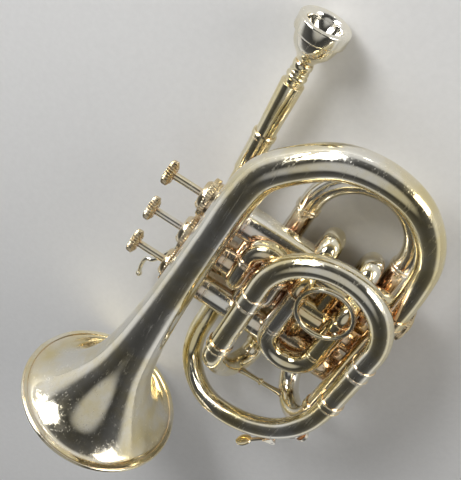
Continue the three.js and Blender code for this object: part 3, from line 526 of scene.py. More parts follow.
def arc(centre, arm_a, arm_b, radius, start, end, count=ARC_COUNT):
    return centre + radius * swung(np.linspace(start, end, count), arm_a, arm_b)


def joined(*parts):
    """One path from several, without repeated points."""
    path = [np.atleast_2d(parts[0])]
    for part in parts[1:]:
        part = np.atleast_2d(part)
        gap = np.linalg.norm(part[0] - path[-1][-1])
        if gap < FIT_GAP:
            part = part[1:]
        elif gap > STEP * 2:
            path.append(straight(path[-1][-1], part[0])[1:-1])
        path.append(part)
    return np.concatenate(path)


class Smooth:
    """Centripetal curve through points, read by knot share or by length share."""

    def __init__(self, knots, start=0.0, end=1.0):
        self.knots = np.array(knots, float)
        shares = np.linspace(start, end, CURVE_DENSITY * len(knots))
        self.path = np.array([self.at_knot(share) for share in shares])
        steps = np.linalg.norm(np.diff(self.path, axis=0), axis=1)
        self.lengths = np.concatenate([[0], np.cumsum(steps)])
        self.length = self.lengths[-1]

    def at_knot(self, share):
        last = len(self.knots) - 1
        index = min(int(share * last), last - 1)
        t = share * last - index
        b, c = self.knots[index], self.knots[index + 1]
        a = self.knots[index - 1] if index > 0 else 2 * b - c
        d = self.knots[index + 2] if index + 2 <= last else 2 * c - b
        ab, bc, cd = (math.sqrt(np.linalg.norm(q - p)) for p, q in ((a, b), (b, c), (c, d)))
        into = ((b - a) / ab - (c - a) / (ab + bc) + (c - b) / bc) * bc
        out = ((c - b) / bc - (d - b) / (bc + cd) + (d - c) / cd) * bc
        square = -3 * b + 3 * c - 2 * into - out
        cube = 2 * b - 2 * c + into + out
        return b + into * t + square * t**2 + cube * t**3

    def at(self, share):
        place = np.clip(share, 0, 1) * self.length
        return np.array([np.interp(place, self.lengths, self.path[:, i]) for i in range(3)])

    def direction(self, share):
        nudge = 1 / (4 * len(self.path))
        return unit(self.at(share + nudge) - self.at(share - nudge))

    def even(self, step=STEP):
        count = max(3, int(self.length / step))
        return np.array([self.at(i / (count - 1)) for i in range(count)])


def smooth_profile(pairs, step=PROFILE_STEP):
    """Finer list of (radius, along) pairs on a smooth line through a few."""
    curve = Smooth([point(radius, along, 0) for radius, along in pairs])
    return [(p[0], p[1]) for p in curve.even(step)]


# Materials


class Nodes:
    """Builds one node material with short calls."""

    def __init__(self, name, slot):
        self.material = bpy.data.materials.new(name)
        self.material.use_nodes = True
        self.material["record_slot"] = slot
        self.tree = self.material.node_tree
        self.shader = self.tree.nodes["Principled BSDF"]
        self.place = self.tree.nodes.new("ShaderNodeTexCoord").outputs["Object"]

    def add(self, kind, **values):
        node = self.tree.nodes.new(kind)
        for key, value in values.items():
            if key in node.inputs:
                node.inputs[key].default_value = value
            else:
                setattr(node, key, value)
        return node

    def link(self, output, target):
        self.tree.links.new(output, target)

    def feed(self, name, output):
        """Links an output to the shader's input of that name."""
        self.link(output, self.shader.inputs[name])

    def noise(self, scale, detail=3.0, roughness=0.55, stretch=None):
        node = self.add("ShaderNodeTexNoise", Scale=scale, Detail=detail, Roughness=roughness)
        source = self.place
        if stretch:
            mapping = self.add("ShaderNodeMapping", Scale=stretch)
            self.link(source, mapping.inputs["Vector"])
            source = mapping.outputs["Vector"]
        self.link(source, node.inputs["Vector"])
        return node.outputs["Fac"]

    def ramp(self, value, stops):
        """Colours of (position, colour) stops along a value."""
        node = self.add("ShaderNodeValToRGB")
        elements = node.color_ramp.elements
        while len(elements) < len(stops):
            elements.new(0.5)
        for element, (place, color) in zip(elements, stops):
            element.position = place
            element.color = (*color, 1)
        self.link(value, node.inputs["Fac"])
        return node.outputs["Color"]

    def grey(self, value, low=0.0, high=1.0, start=0.0, end=1.0):
        """Value that goes from low to high while the one given goes from start to end."""
        node = self.add("ShaderNodeMapRange")
        for key, number in (("From Min", start), ("From Max", end), ("To Min", low), ("To Max", high)):
            node.inputs[key].default_value = number
        self.link(value, node.inputs["Value"])
        return node.outputs["Result"]

    def blend(self, factor, a, b):
        """Mixes two colours, each written out or taken from an output."""
        node = self.add("ShaderNodeMix", data_type="RGBA")
        self.link(factor, node.inputs["Factor"])
        for name, value in (("A", a), ("B", b)):
            socket = [s for s in node.inputs if s.name == name and s.type == "RGBA"][0]
            if isinstance(value, tuple):
                socket.default_value = (*value, 1)
            else:
                self.link(value, socket)
        return [s for s in node.outputs if s.type == "RGBA"][0]

    def bump(self, height, strength, distance):
        node = self.add("ShaderNodeBump", Strength=strength, Distance=distance)
        self.link(height, node.inputs["Height"])
        self.feed("Normal", node.outputs["Normal"])

    def maths(self, operation, a, b):
        node = self.add("ShaderNodeMath", operation=operation)
        self.link(a, node.inputs[0])
        self.link(b, node.inputs[1])
        return node.outputs[0]

    def scratches(self, turn, scale):
        """Thin streaks that run across the surface at an angle."""
        mapping = self.add("ShaderNodeMapping", Rotation=(turn, turn / 2, turn * 2), Scale=(0.04, 1, 1))
        self.link(self.place, mapping.inputs["Vector"])
        node = self.add("ShaderNodeTexNoise", Scale=scale, Detail=2, Roughness=0.5)
        self.link(mapping.outputs["Vector"], node.inputs["Vector"])
        return self.grey(node.outputs["Fac"], start=0.62, end=0.7)

    def corners(self, reach, alone=False):
        """Ambient occlusion for the tarnish and painted shade: 1 on open surface, 0 deep in a corner; alone
        leaves the other pieces out.
        """
        node = self.add("ShaderNodeAmbientOcclusion", Distance=reach, only_local=alone, samples=8)
        return node.outputs["AO"]

    def above_table(self):
        """0 on the side that lies on the table, which is no corner, rising to 1 above it; keeps the corner
        tarnish and painted shade off that side.
        """
        split = self.add("ShaderNodeSeparateXYZ")
        self.link(self.place, split.inputs["Vector"])
        return self.grey(split.outputs["Y"], start=TABLE_SIDE, end=TABLE_SIDE + CORNER_REACH)


def plate(name, slot, bright, warm, tarnish_and_shade, polish, bumpiness, groove_shade=None):
    """Plated metal: cloudy tint, tarnish with painted shade in corners, painted shade in grooves when a
    groove colour is given, smudges and hairline scratches.
    """
    made = Nodes(name, slot)
    cloud = made.grey(made.noise(scale=24, detail=5, roughness=0.6), start=0.4, end=0.62)
    tint = made.blend(cloud, bright, warm)
    # Tarnish and painted shade: ambient occlusion warms and darkens the colour in corners and between
    # parts, kept off the side on the table
    corner = made.grey(made.corners(CORNER_REACH), low=1, high=0, start=0.25, end=0.92)
    corner = made.maths("MULTIPLY", corner, made.above_table())
    speck = made.grey(made.noise(scale=420, detail=4, roughness=0.7), low=0.45, start=0.3, end=0.7)
    color = made.blend(made.maths("MULTIPLY", corner, speck), tint, tarnish_and_shade)
    if groove_shade:
        # Painted shade: local ambient occlusion darkens the knurl grooves towards the groove colour
        groove = made.grey(made.corners(GROOVE_REACH, alone=True), low=1, high=0, start=0.45, end=0.95)
        color = made.blend(groove, color, groove_shade)
    made.feed("Base Color", color)
    low, high = polish
    smudge = made.grey(made.noise(scale=150, detail=6, roughness=0.65), low, high, start=0.38, end=0.68)
    fine = made.scratches(turn=0.5, scale=900)
    coarse = made.scratches(turn=-0.9, scale=700)
    scratched = made.maths("MAXIMUM", fine, coarse)
    made.feed("Roughness", made.maths("ADD", smudge, made.grey(scratched, high=0.16)))
    made.shader.inputs["Metallic"].default_value = 1
    waves = made.noise(scale=30, detail=1, roughness=0.3)
    made.bump(made.maths("ADD", waves, made.grey(scratched, high=0.04)), bumpiness, distance=0.0005)
    return made.material


SILVER = plate(
    "silver_plate",
    "silver_plate",
    bright=(0.88, 0.85, 0.76),
    warm=(0.84, 0.73, 0.43),
    # Corner colour: part tarnish, part painted shade
    tarnish_and_shade=(0.78, 0.5, 0.34),
    polish=(0.06, 0.2),
    bumpiness=0.3,
)
KNURLED = plate(
    "knurled_plate",
    "silver_plate",
    bright=(0.82, 0.73, 0.54),
    warm=(0.76, 0.62, 0.38),
    # Corner colour: part tarnish, part painted shade
    tarnish_and_shade=(0.7, 0.5, 0.33),
    polish=(0.1, 0.24),
    bumpiness=0.2,
    # Near-black painted shade in the knurl grooves
    groove_shade=(0.14, 0.09, 0.05),
)
WIRE = plate(
    "spring_wire",
    "steel",
    bright=(0.62, 0.62, 0.62),
    warm=(0.5, 0.49, 0.47),
    # Corner colour: part tarnish, part painted shade
    tarnish_and_shade=(0.2, 0.16, 0.12),
    polish=(0.22, 0.4),
    bumpiness=0.2,
)
PEARL_SHADES = (
    (0.3, (0.87, 0.88, 0.86)),
    (0.47, (0.93, 0.9, 0.86)),
    (0.58, (0.84, 0.89, 0.86)),
    (0.72, (0.95, 0.94, 0.92)),
)
CORK_SHADES = ((0.32, (0.2, 0.07, 0.025)), (0.5, (0.62, 0.27, 0.1)), (0.7, (0.78, 0.42, 0.2)))
FLOOR_SHADES = ((0.3, (0.79, 0.79, 0.785)), (0.7, (0.82, 0.82, 0.815)))


def pearl_material():
    made = Nodes("pearl_inlay", "pearl")
    swirl = made.noise(scale=210, detail=4, roughness=0.6, stretch=(1, 2.2, 1))
    made.feed("Base Color", made.ramp(swirl, PEARL_SHADES))
    made.feed("Roughness", made.grey(made.noise(scale=500), low=0.12, high=0.28, start=0.3, end=0.7))
    made.shader.inputs["Coat Weight"].default_value = 0.6
    made.shader.inputs["Coat Roughness"].default_value = 0.08
    made.bump(made.noise(scale=140, detail=2), strength=0.1, distance=0.0003)
    return made.material


def cork_material():
    made = Nodes("cork", "cork")
    grain = made.noise(scale=950, detail=5, roughness=0.7)
    made.feed("Base Color", made.ramp(grain, CORK_SHADES))
    made.feed("Roughness", made.grey(grain, low=0.6, high=0.9))
    made.bump(grain, strength=0.5, distance=0.0004)
    return made.material


def floor_material():
    """Pale paper, seen through from behind so that the far side of the trumpet can be looked at."""
    made = Nodes("floor", "floor")
    made.shader.inputs["Roughness"].default_value = 0.9
    made.feed("Base Color", made.ramp(made.noise(scale=300, detail=4), FLOOR_SHADES))
    clear = made.add("ShaderNodeBsdfTransparent")
    facing = made.add("ShaderNodeNewGeometry").outputs["Backfacing"]
    both = made.add("ShaderNodeMixShader")
    made.link(facing, both.inputs["Fac"])
    made.link(made.shader.outputs["BSDF"], both.inputs[1])
    made.link(clear.outputs["BSDF"], both.inputs[2])
    made.link(both.outputs["Shader"], made.tree.nodes["Material Output"].inputs["Surface"])
    return made.material


PEARL = pearl_material()
CORK = cork_material()


# Pieces


def outward(mesh):
    """Turns all faces to the outside."""
    work = bmesh.new()
    work.from_mesh(mesh)
    bmesh.ops.recalc_face_normals(work, faces=work.faces)
    work.to_mesh(mesh)
    work.free()


def soften(piece, width):
    bevel = piece.modifiers.new("edges", "BEVEL")
    bevel.width = width * METRES
    bevel.segments = 2
    bevel.limit_method = "ANGLE"
    bevel.angle_limit = EDGE_ANGLE
    bevel.harden_normals = True


def make(node, shape, body="body", material=SILVER, bevel=EDGE_BEVEL):
    """Piece that rides on a body and replaces the CAD node of the name given."""
    name = f"{node}_visual"
    mesh = bpy.data.meshes.new(name)
    mesh.from_pydata([tuple(p * METRES) for p in shape.points], [], shape.faces)
    mesh.materials.append(material)
    mesh.update()
    piece = bpy.data.objects.new(name, mesh)
    bpy.context.scene.collection.objects.link(piece)
    outward(mesh)
    mesh.polygons.foreach_set("use_smooth", [True] * len(mesh.polygons))
    mesh.set_sharp_from_angle(angle=EDGE_ANGLE)
    if bevel:
        soften(piece, bevel)
    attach(piece, body)
    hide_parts(node)
    return piece


# Round trim


def band(shape, place, inner, outer, start, end, sides=SIDES):
    """Ring of rectangular section."""
    return turned(shape, [(inner, start), (outer, start), (outer, end), (inner, end)], place, sides)


def bead_ring(shape, place, along, inner, height=BEAD_HEIGHT, width=BEAD_WIDTH, sides=SIDES):
    """Half-round bead on a tube."""
    start = along - width / 2
    end = along + width / 2
    under = inner - height / 2
    rounded = [
        (inner + height * math.sin(angle), along - math.cos(angle) * width / 2)
        for angle in np.linspace(0, math.pi, BEAD_COUNT)
    ]
    profile = [(inner, start), *rounded, (inner, end), (under, end), (under, start)]
    return turned(shape, profile, place, sides)


def end_beads(shape, place, radius, length):
    """Bead at each end of a ring."""
    for along in (BEAD_WIDTH / 2, length - BEAD_WIDTH / 2):
        bead_ring(shape, place, along, radius)


def ferrule(shape, start, length, tube_radius):
    """Thin ring over a joint, with a bead at each end."""
    place = placed(start)
    outer = tube_radius + SOCKET_WALL
    band(shape, place, tube_radius - SOCKET_WALL / 2, outer, 0, length)
    end_beads(shape, place, outer, length)
    return shape


def collar_ring(shape, end, tube_radius):
    """Ferrule over the joint at a tube's end."""
    ferrule(shape, end - X_AXIS * SOCKET_INSERT, SOCKET_INSERT + SOCKET_WALL * 2, tube_radius)


def ball_profile(radius, count):
    return [
        (max(radius * math.sin(angle), ON_AXIS), -radius * math.cos(angle))
        for angle in np.linspace(0, math.pi, count)
    ]


def cut_at_casing(rings, valve_x):
    """Cuts each long line of a tube that starts on a valve's axis at the round wall of the casing."""
    away = np.hypot(rings[:, :, 0] - valve_x, rings[:, :, 1])
    wall = CASING_RADIUS - CASING_WALL / 2
    clear = int(np.argmax(np.all(away > wall, axis=1)))
    steps = np.arange(clear + 1)
    for line in range(rings.shape[1]):
        crossing = np.interp(wall, away[:clear + 1, line], steps)
        places = np.linspace(crossing, clear, clear + 1)
        for axis in range(3):
            rings[:clear + 1, line, axis] = np.interp(places, steps, rings[:clear + 1, line, axis])


def casing_tube(path, radius, start=None, end=None, wall=TUBE_WALL):
    """Tube that meets a casing at its start or end; start and end are the X of the valve there."""
    skin, lining = (rings_along(path, reach, SIDES) for reach in (radius, radius - wall))
    for rings in (skin, lining):
        if start is not None:
            cut_at_casing(rings, start)
        if end is not None:
            cut_at_casing(rings[::-1], end)
    return Shape().loft(np.concatenate([skin, lining[::-1]]), closed=True)


# Bell, its bow and the low leg


def local_frame(x, y, z, turn):
    """Frame of a group that is turned about Y at a place."""
    matrix = np.eye(4)
    matrix[:3, :3] = np.array(Matrix.Rotation(turn, 3, "Y"))
    matrix[:3, 3] = (x, y, z)
    return matrix


BELL_FRAME = local_frame(RIM_X, BELL, RIM_Z, -BELL_TILT)
BELL_AHEAD = BELL_FRAME[:3, 0]
BELL_TAIL_POINT = BELL_FRAME[:3, 3] - BELL_AHEAD * (BELL_LENGTH + SEAT_GAP)


def bell_piece():
    flare = [(mix(BELL_TAIL, RIM_RADIUS, share), -back * BELL_LENGTH) for back, share in BELL_SHARES]
    edge = (RIM_RADIUS - RIM_BEAD, -RIM_BEAD * 2)
    outside = np.array(smooth_profile([edge, *flare], BELL_STEP))
    slope = np.gradient(outside, axis=0)
    normal = np.stack([-slope[:, 1], slope[:, 0]], axis=1)
    normal /= np.linalg.norm(normal, axis=1)[:, None]
    inside = outside - normal * BELL_WALL * np.sign(normal[:, :1])
    shape = turned(Shape(), [*map(tuple, outside), *map(tuple, inside[::-1])], BELL_FRAME, BELL_SIDES)
    bead = [
        (RIM_RADIUS - RIM_BEAD + RIM_BEAD * math.cos(angle), -RIM_BEAD + RIM_BEAD * math.sin(angle))
        for angle in around(RIM_COUNT)
    ]
    turned(shape, bead, BELL_FRAME, BELL_SIDES)
    make("bell", shape, bevel=0)


BOW_FAR = point(BOW_END_X - BOW_REACH, LOW_LEG, BOW_LOW_Z)
LOW_LEG_START = point(BOW_END_X + SEAT_GAP, LOW_LEG, BOW_LOW_Z)
LOW_LEG_END = point(LOW_LEG_FRONT, LOW_LEG, BOW_LOW_Z)


def bell_bow_piece():
    knots = knots_between(BELL_TAIL_POINT, BOW_FAR, BOW_SHARES)
    curve = Smooth([BELL_TAIL_POINT, *knots, point(BOW_END_X, LOW_LEG, BOW_LOW_Z)])
    path = np.concatenate([[BELL_TAIL_POINT + BELL_AHEAD * SEAT_GAP * 2], curve.even()])
    shares = np.linspace(0, 1, len(path))
    narrowing = np.interp(shares, np.linspace(0, 1, len(BOW_TAPER_SHARES)), BOW_TAPER_SHARES)
    radii = mix(BELL_TAIL, BOW_LOW_RADIUS, narrowing)
    make("bell_bow", tube(path, radii, radii - BELL_WALL, FINE_SIDES), bevel=0)


def low_leg_pieces():
    make("low_leg", pipe(straight(LOW_LEG_START, LOW_LEG_END), BOW_LOW_RADIUS, FINE_SIDES))
    start = LOW_LEG_START - X_AXIS * SOCKET_LENGTH / 2
    make("bow_ferrule", ferrule(Shape(), start, SOCKET_LENGTH, BOW_LOW_RADIUS))


# Bows and return tubes on the right


LOW_BOW_END = point(LOW_LEG_FRONT, RIGHT, LOW_RETURN_Z)
HIGH_BOW_START = point(TUNING_HIGH_FRONT + SEAT_GAP, TUNING, TUNING_HIGH_Z)
HIGH_BOW_END = point(HIGH_RETURN_FRONT + SEAT_GAP, RIGHT, HIGH_RETURN_Z)
HIGH_BOW_FAR = point(HIGH_BOW_REACH, RIGHT, HIGH_RETURN_Z)
HIGH_BOW_KNOTS = [
    HIGH_BOW_START,
    HIGH_BOW_START + X_AXIS * STUB,
    *knots_between(HIGH_BOW_START, HIGH_BOW_FAR, HIGH_BOW_SHARES),
    HIGH_BOW_END + X_AXIS * STUB,
    HIGH_BOW_END,
]


def low_bow_path():
    middle = (LOW_LEG_END + LOW_BOW_END) / 2 + X_AXIS * STUB
    across = LOW_LEG_END - LOW_BOW_END
    radius = np.linalg.norm(across) / 2
    bend = arc(middle, X_AXIS, unit(across), radius, math.pi / 2, -math.pi / 2)
    return joined(LOW_LEG_END, bend, LOW_BOW_END)


def low_bow_piece():
    shape = pipe(low_bow_path(), SIDE_RADIUS)
    for end in (LOW_LEG_END, LOW_BOW_END):
        collar_ring(shape, end, BOW_LOW_RADIUS)
    make("low_bow", shape)


def wrap_piece(name, front, z):
    turn = arc(point(WRAP_X, RIGHT / 2, z), -Y_AXIS, -X_AXIS, -RIGHT / 2, 0, math.pi)
    inward = straight(turn[-1], point(-VALVE_PITCH, 0, z), FINE_STEP)
    path = joined(point(front, RIGHT, z), turn, inward)
    make(name, casing_tube(path, SIDE_RADIUS, end=-VALVE_PITCH))


def high_bow_piece():
    shape = pipe(Smooth(HIGH_BOW_KNOTS).even(), SIDE_RADIUS)
    collar_ring(shape, point(TUNING_HIGH_FRONT, TUNING, TUNING_HIGH_Z), TUNING_RADIUS)
    collar_ring(shape, point(HIGH_RETURN_FRONT, RIGHT, HIGH_RETURN_Z), SIDE_RADIUS)
    make("high_bow", shape)


# Leadpipe, front bow, receiver and mouthpiece


LEAD_FRAME = local_frame(0, LEAD, LEAD_HEIGHT, LEAD_TILT)
FRONT_LOW = point(0, LEAD, TUNING_LOW_Z)
FRONT_FAR = point(FRONT_REACH, TUNING, TUNING_LOW_Z + FRONT_RISE)
FRONT_KNOTS = knots_between(FRONT_LOW, FRONT_FAR, FRONT_SHARES)


def lead_point(x):
    return (LEAD_FRAME @ (x, 0, 0, 1))[:3]


ROUTE_KNOTS = [
    lead_point(LEAD_START),
    lead_point((LEAD_START + LEAD_END) / 2),
    lead_point(LEAD_END),
    *FRONT_KNOTS,
    point(TUNING_LOW_FRONT + STUB, TUNING, TUNING_LOW_Z),
    point(TUNING_LOW_FRONT + SEAT_GAP, TUNING, TUNING_LOW_Z),
]
FERRULE_SHARE = (FERRULE_INDEX + 3) / (len(ROUTE_KNOTS) - 1)
PART_SPAN = np.linalg.norm(FRONT_KNOTS[FERRULE_INDEX + 1] - FRONT_KNOTS[FERRULE_INDEX])
PART_SHARE = SEAT_GAP / (PART_SPAN * (len(ROUTE_KNOTS) - 1))
LEAD_CURVE = Smooth(ROUTE_KNOTS, 0, FERRULE_SHARE)
FRONT_CURVE = Smooth(ROUTE_KNOTS, FERRULE_SHARE + PART_SHARE, 1)
KEY_ROOT = FRONT_CURVE.at(KEY_SHARE)
KEY_ALONG = -FRONT_CURVE.direction(KEY_SHARE)
KEY_SIDE = unit(point(*KEY_LEAN) - KEY_ALONG * (point(*KEY_LEAN) @ KEY_ALONG))
KEY_OUT = unit(np.cross(KEY_ALONG, KEY_SIDE))


def leadpipe_piece():
    make("leadpipe", pipe(LEAD_CURVE.even(), LEAD_RADIUS))


def front_bow_piece():
    shape = pipe(FRONT_CURVE.even(), FRONT_RADIUS, FINE_SIDES)
    collar_ring(shape, point(TUNING_LOW_FRONT, TUNING, TUNING_LOW_Z), TUNING_RADIUS)
    low = FRONT_RADIUS - TUBE_WALL * 2
    tip = FRONT_RADIUS + NIPPLE_HEIGHT
    bored = NIPPLE_RADIUS / 2
    skirt = NIPPLE_RADIUS + TUBE_WALL * 2
    foot = FRONT_RADIUS + TUBE_WALL / 2
    nipple = [
        (bored, low),
        (skirt, low),
        (skirt, foot),
        (NIPPLE_RADIUS, foot + TUBE_WALL),
        (NIPPLE_RADIUS, tip),
        (bored, tip),
    ]
    turned(shape, nipple, placed(KEY_ROOT, KEY_OUT, KEY_ALONG), WIRE_SIDES)
    make("front_bow", shape)


def lead_ferrule_piece():
    place = placed(LEAD_CURVE.at(1), FRONT_CURVE.direction(0))
    half = RIDGE_COUNT * RIDGE_LENGTH / 2
    low = LEAD_RADIUS + TUBE_WALL / 2
    shape = band(Shape(), place, low, RIDGE_RADIUS, -half, half - RIDGE_GROOVE, FINE_SIDES)
    for i in range(RIDGE_COUNT):
        along = -half + (i + 0.5) * RIDGE_LENGTH - RIDGE_GROOVE / 2
        bead_ring(shape, place, along, RIDGE_RADIUS, RIDGE_GROOVE, RIDGE_LENGTH - RIDGE_GROOVE, FINE_SIDES)
    make("lead_ferrule", shape)


MOUTH_TIP_X = FACE_X + MOUTH_LENGTH


def shank_radius(x):
    return MOUTH_TIP + (MOUTH_TIP_X - x) * MOUTH_TAPER


def receiver_piece():
    end = RECEIVER_MOUTH + RECEIVER_LENGTH
    ring_end = RECEIVER_MOUTH + RECEIVER_RING_LENGTH
    lip = RECEIVER_RING - RIDGE_GROOVE
    profile = [
        (lip, RECEIVER_MOUTH),
        (RECEIVER_RING, RECEIVER_MOUTH + RIDGE_GROOVE),
        (RECEIVER_RING, ring_end - RIDGE_GROOVE),
        (lip, ring_end),
        (RECEIVER_BODY, ring_end),
        (RECEIVER_BODY, end - RIDGE_LENGTH),
        (LEAD_RADIUS + TUBE_WALL / 2, end),
        (LEAD_RADIUS - FIT_GAP, end),
        (LEAD_RADIUS - FIT_GAP, LEAD_START - SEAT_GAP),
        (shank_radius(MOUTH_TIP_X) + FIT_GAP, LEAD_START - SEAT_GAP),
        (shank_radius(RECEIVER_MOUTH) + FIT_GAP, RECEIVER_MOUTH),
    ]
    make("receiver", turned(Shape(), profile, LEAD_FRAME, FINE_SIDES))


def mouth_at(share):
    return FACE_X + share * MOUTH_LENGTH


VALLEY_RADIUS = mix(MOUTH_NECK, MOUTH_BEAD, VALLEY_SHARE)


def mouth_profile(shares, radius, length):
    """Profile from shares of a radius and of a length behind the rim's face."""
    return [(share * radius, FACE_X + along * length) for share, along in shares]


def neck_profile():
    """Beads between the cup and the shank."""
    neck = [(MOUTH_NECK, mouth_at(NECK_SHARES[0][0]))]
    for start, end, share in NECK_SHARES:
        height = share * MOUTH_BEAD - VALLEY_RADIUS
        for angle in np.linspace(0, math.pi, NECK_COUNT):
            radius = VALLEY_RADIUS + height * math.sin(angle) ** NECK_FULLNESS
            neck.append((radius, mix(mouth_at(start), mouth_at(end), angle / math.pi)))
    return neck


def mouthpiece_piece():
    rim = mouth_profile(RIM_SHARES, MOUTH_RIM, MOUTH_RIM_HEIGHT)
    rim.append((MOUTH_CUP, FACE_X + MOUTH_RIM_HEIGHT + FIT_GAP))
    body = smooth_profile(mouth_profile(BODY_SHARES, MOUTH_CUP, MOUTH_LENGTH))
    shank_start = mouth_at(NECK_SHARES[-1][1] + NECK_SHARES[0][1] - NECK_SHARES[0][0])
    shank = [
        (VALLEY_RADIUS, shank_start - BEAD_WIDTH),
        (shank_radius(shank_start) - FIT_GAP, shank_start - BEAD_WIDTH / 2),
        (shank_radius(shank_start), shank_start),
        (shank_radius(MOUTH_TIP_X), MOUTH_TIP_X),
    ]
    bored = [
        (MOUTH_TIP - TUBE_WALL, MOUTH_TIP_X),
        (MOUTH_THROAT, FACE_X + MOUTH_CUP_DEPTH + MOUTH_RIM_HEIGHT),
        (MOUTH_THROAT, FACE_X + MOUTH_CUP_DEPTH),
    ]
    cup = smooth_profile(mouth_profile(reversed(CUP_SHARES), MOUTH_RIM, MOUTH_CUP_DEPTH))
    profile = [*rim, *body, *neck_profile(), *shank, *bored, *cup]
    make("mouthpiece", turned(Shape(), profile, LEAD_FRAME, FINE_SIDES), "mouthpiece")


# Valves


def upright(x):
    return placed(point(x, 0, 0), Z_AXIS, X_AXIS)


def knurl(rows, count=KNURL_COUNT, depth=KNURL_DEPTH):
    """Ripple of fine ridges on the given rows of a profile."""

    def ripple(row, turns):
        if row not in rows:
            return np.zeros_like(turns)
        return depth * (np.cos(turns * count) - 1) / 2

    return ripple


def casing_piece(number, x):
    place = upright(x)
    inner = CASING_RADIUS - CASING_WALL
    shape = band(Shape(), place, inner, CASING_RADIUS, CASING_BOTTOM, CASING_TOP, FINE_SIDES)
    bead_ring(shape, place, CASING_RING_Z, CASING_RADIUS, BEAD_HEIGHT / 2, sides=FINE_SIDES)
    make(f"casing_{number}", shape)


def top_cap_piece(number, x):
    roof = CASING_TOP + SEAT_GAP
    skirt = roof - SKIRT_LENGTH
    flange = roof + FLANGE_THICKNESS
    crown = flange + DOME_HEIGHT
    chamfer = RIDGE_GROOVE / 2
    profile = [
        (STEM_HOLE, roof),
        (CASING_RADIUS + FIT_GAP, roof),
        (CASING_RADIUS + FIT_GAP, skirt),
        (SKIRT_RADIUS, skirt),
        (SKIRT_RADIUS, roof - chamfer),
        (FLANGE_RADIUS - chamfer, roof - chamfer),
        (FLANGE_RADIUS, roof),
        (FLANGE_RADIUS, flange - chamfer),
        (FLANGE_RADIUS - chamfer, flange),
        (DOME_RADIUS, flange),
        (DOME_RADIUS - chamfer, flange + DOME_HEIGHT / 2),
        (DOME_RADIUS - DOME_HEIGHT / 2, crown),
        (STEM_HOLE, crown),
    ]
    shape = turned(Shape(), profile, upright(x), KNURL_SIDES, knurl(rows=(6, 7)))
    make(f"top_cap_{number}", shape, material=KNURLED, bevel=0)


def bottom_cap_piece(number, x):
    under = LOW_CAP_FLOOR - LOW_CAP_WALL
    inner = CASING_RADIUS + FIT_GAP
    bored = CASING_RADIUS - CASING_WALL
    ledge = CASING_BOTTOM - SEAT_GAP
    chamfer = LOW_CAP_WALL / 2
    profile = [
        (VENT_RADIUS, under - NUB_HEIGHT),
        (NUB_RADIUS - chamfer / 2, under - NUB_HEIGHT),
        (NUB_RADIUS, under - NUB_HEIGHT + chamfer / 2),
        (NUB_RADIUS, under),
        (LOW_CAP_RADIUS - chamfer, under),
        (LOW_CAP_RADIUS, under + chamfer),
        (LOW_CAP_RADIUS, LOW_CAP_TOP - chamfer),
        (LOW_CAP_RADIUS, LOW_CAP_TOP),
        (inner, LOW_CAP_TOP),
        (inner, ledge),
        (bored, ledge),
        (bored, LOW_CAP_FLOOR),
        (VENT_RADIUS, LOW_CAP_FLOOR),
    ]
    shape = turned(Shape(), profile, upright(x), KNURL_SIDES, knurl(rows=(5, 6)))
    make(f"bottom_cap_{number}", shape, material=KNURLED, bevel=0)


def beads_around(shape, place, radius, along, size, count):
    """Circle of small balls."""
    for turn in around(count):
        local = (along, radius * math.cos(turn), radius * math.sin(turn), 1)
        ball = placed((place @ local)[:3], place[:3, 0])
        turned(shape, ball_profile(size, BALL_COUNT), ball, BALL_SIDES)


def button_piece(number, x):
    edge = BUTTON_THICKNESS / 4
    lip = PEARL_RADIUS + FIT_GAP
    groove = RIDGE_GROOVE / 2
    profile = [
        (ON_AXIS, BUTTON_BOTTOM),
        (STEM_RADIUS * 2, BUTTON_BOTTOM),
        (STEM_RADIUS * 2 + groove, BUTTON_BOTTOM + groove),
        (BUTTON_RADIUS - edge * 2 - groove, BUTTON_BOTTOM + groove),
        (BUTTON_RADIUS - edge * 2, BUTTON_BOTTOM),
        (BUTTON_RADIUS - edge, BUTTON_BOTTOM + edge / 3),
        (BUTTON_RADIUS, BUTTON_BOTTOM + edge),
        (BUTTON_RADIUS, BUTTON_TOP - edge),
        (BUTTON_RADIUS - edge / 3, BUTTON_TOP - edge / 3),
        (BUTTON_RADIUS - edge, BUTTON_TOP),
        (lip, BUTTON_TOP),
        (lip, BUTTON_TOP - PEARL_RECESS),
        (ON_AXIS, BUTTON_TOP - PEARL_RECESS),
    ]
    ridges = knurl(rows=(5, 6, 7, 8), count=BUTTON_KNURLS, depth=BUTTON_KNURL_DEPTH)
    shape = turned(Shape(), profile, upright(x), BUTTON_SIDES, ridges)
    beading = (STEM_RADIUS * 2 + BUTTON_RADIUS - edge * 2) / 2
    beads_around(shape, upright(x), beading, BUTTON_BOTTOM + BUTTON_BEAD / 2, BUTTON_BEAD, BUTTON_BEADS)
    make(f"button_{number}", shape, f"valve_{number}", KNURLED, bevel=0)


def pearl_piece(number, x):
    bottom = BUTTON_TOP - PEARL_RECESS + FIT_GAP
    top = bottom + PEARL_THICKNESS
    dish = [(PEARL_RADIUS * share, top - PEARL_THICKNESS * drop) for share, drop in PEARL_DISH]
    profile = [(ON_AXIS, bottom), (PEARL_RADIUS, bottom), *dish, (ON_AXIS, dish[-1][1])]
    shape = turned(Shape(), profile, upright(x), FINE_SIDES)
    make(f"button_pearl_{number}", shape, f"valve_{number}", PEARL)


def piston_piece(number, x):
    edge = EDGE_BEVEL * 2
    profile = [
        (ON_AXIS, PISTON_BOTTOM),
        (PISTON_RADIUS - edge, PISTON_BOTTOM),
        (PISTON_RADIUS, PISTON_BOTTOM + edge),
        (PISTON_RADIUS, PISTON_TOP - edge),
        (PISTON_RADIUS - edge, PISTON_TOP),
        (STEM_RADIUS, PISTON_TOP),
        (STEM_RADIUS, BUTTON_BOTTOM + FIT_GAP),
        (ON_AXIS, BUTTON_BOTTOM + FIT_GAP),
    ]
    make(f"piston_{number}", turned(Shape(), profile, upright(x), FINE_SIDES), f"valve_{number}")


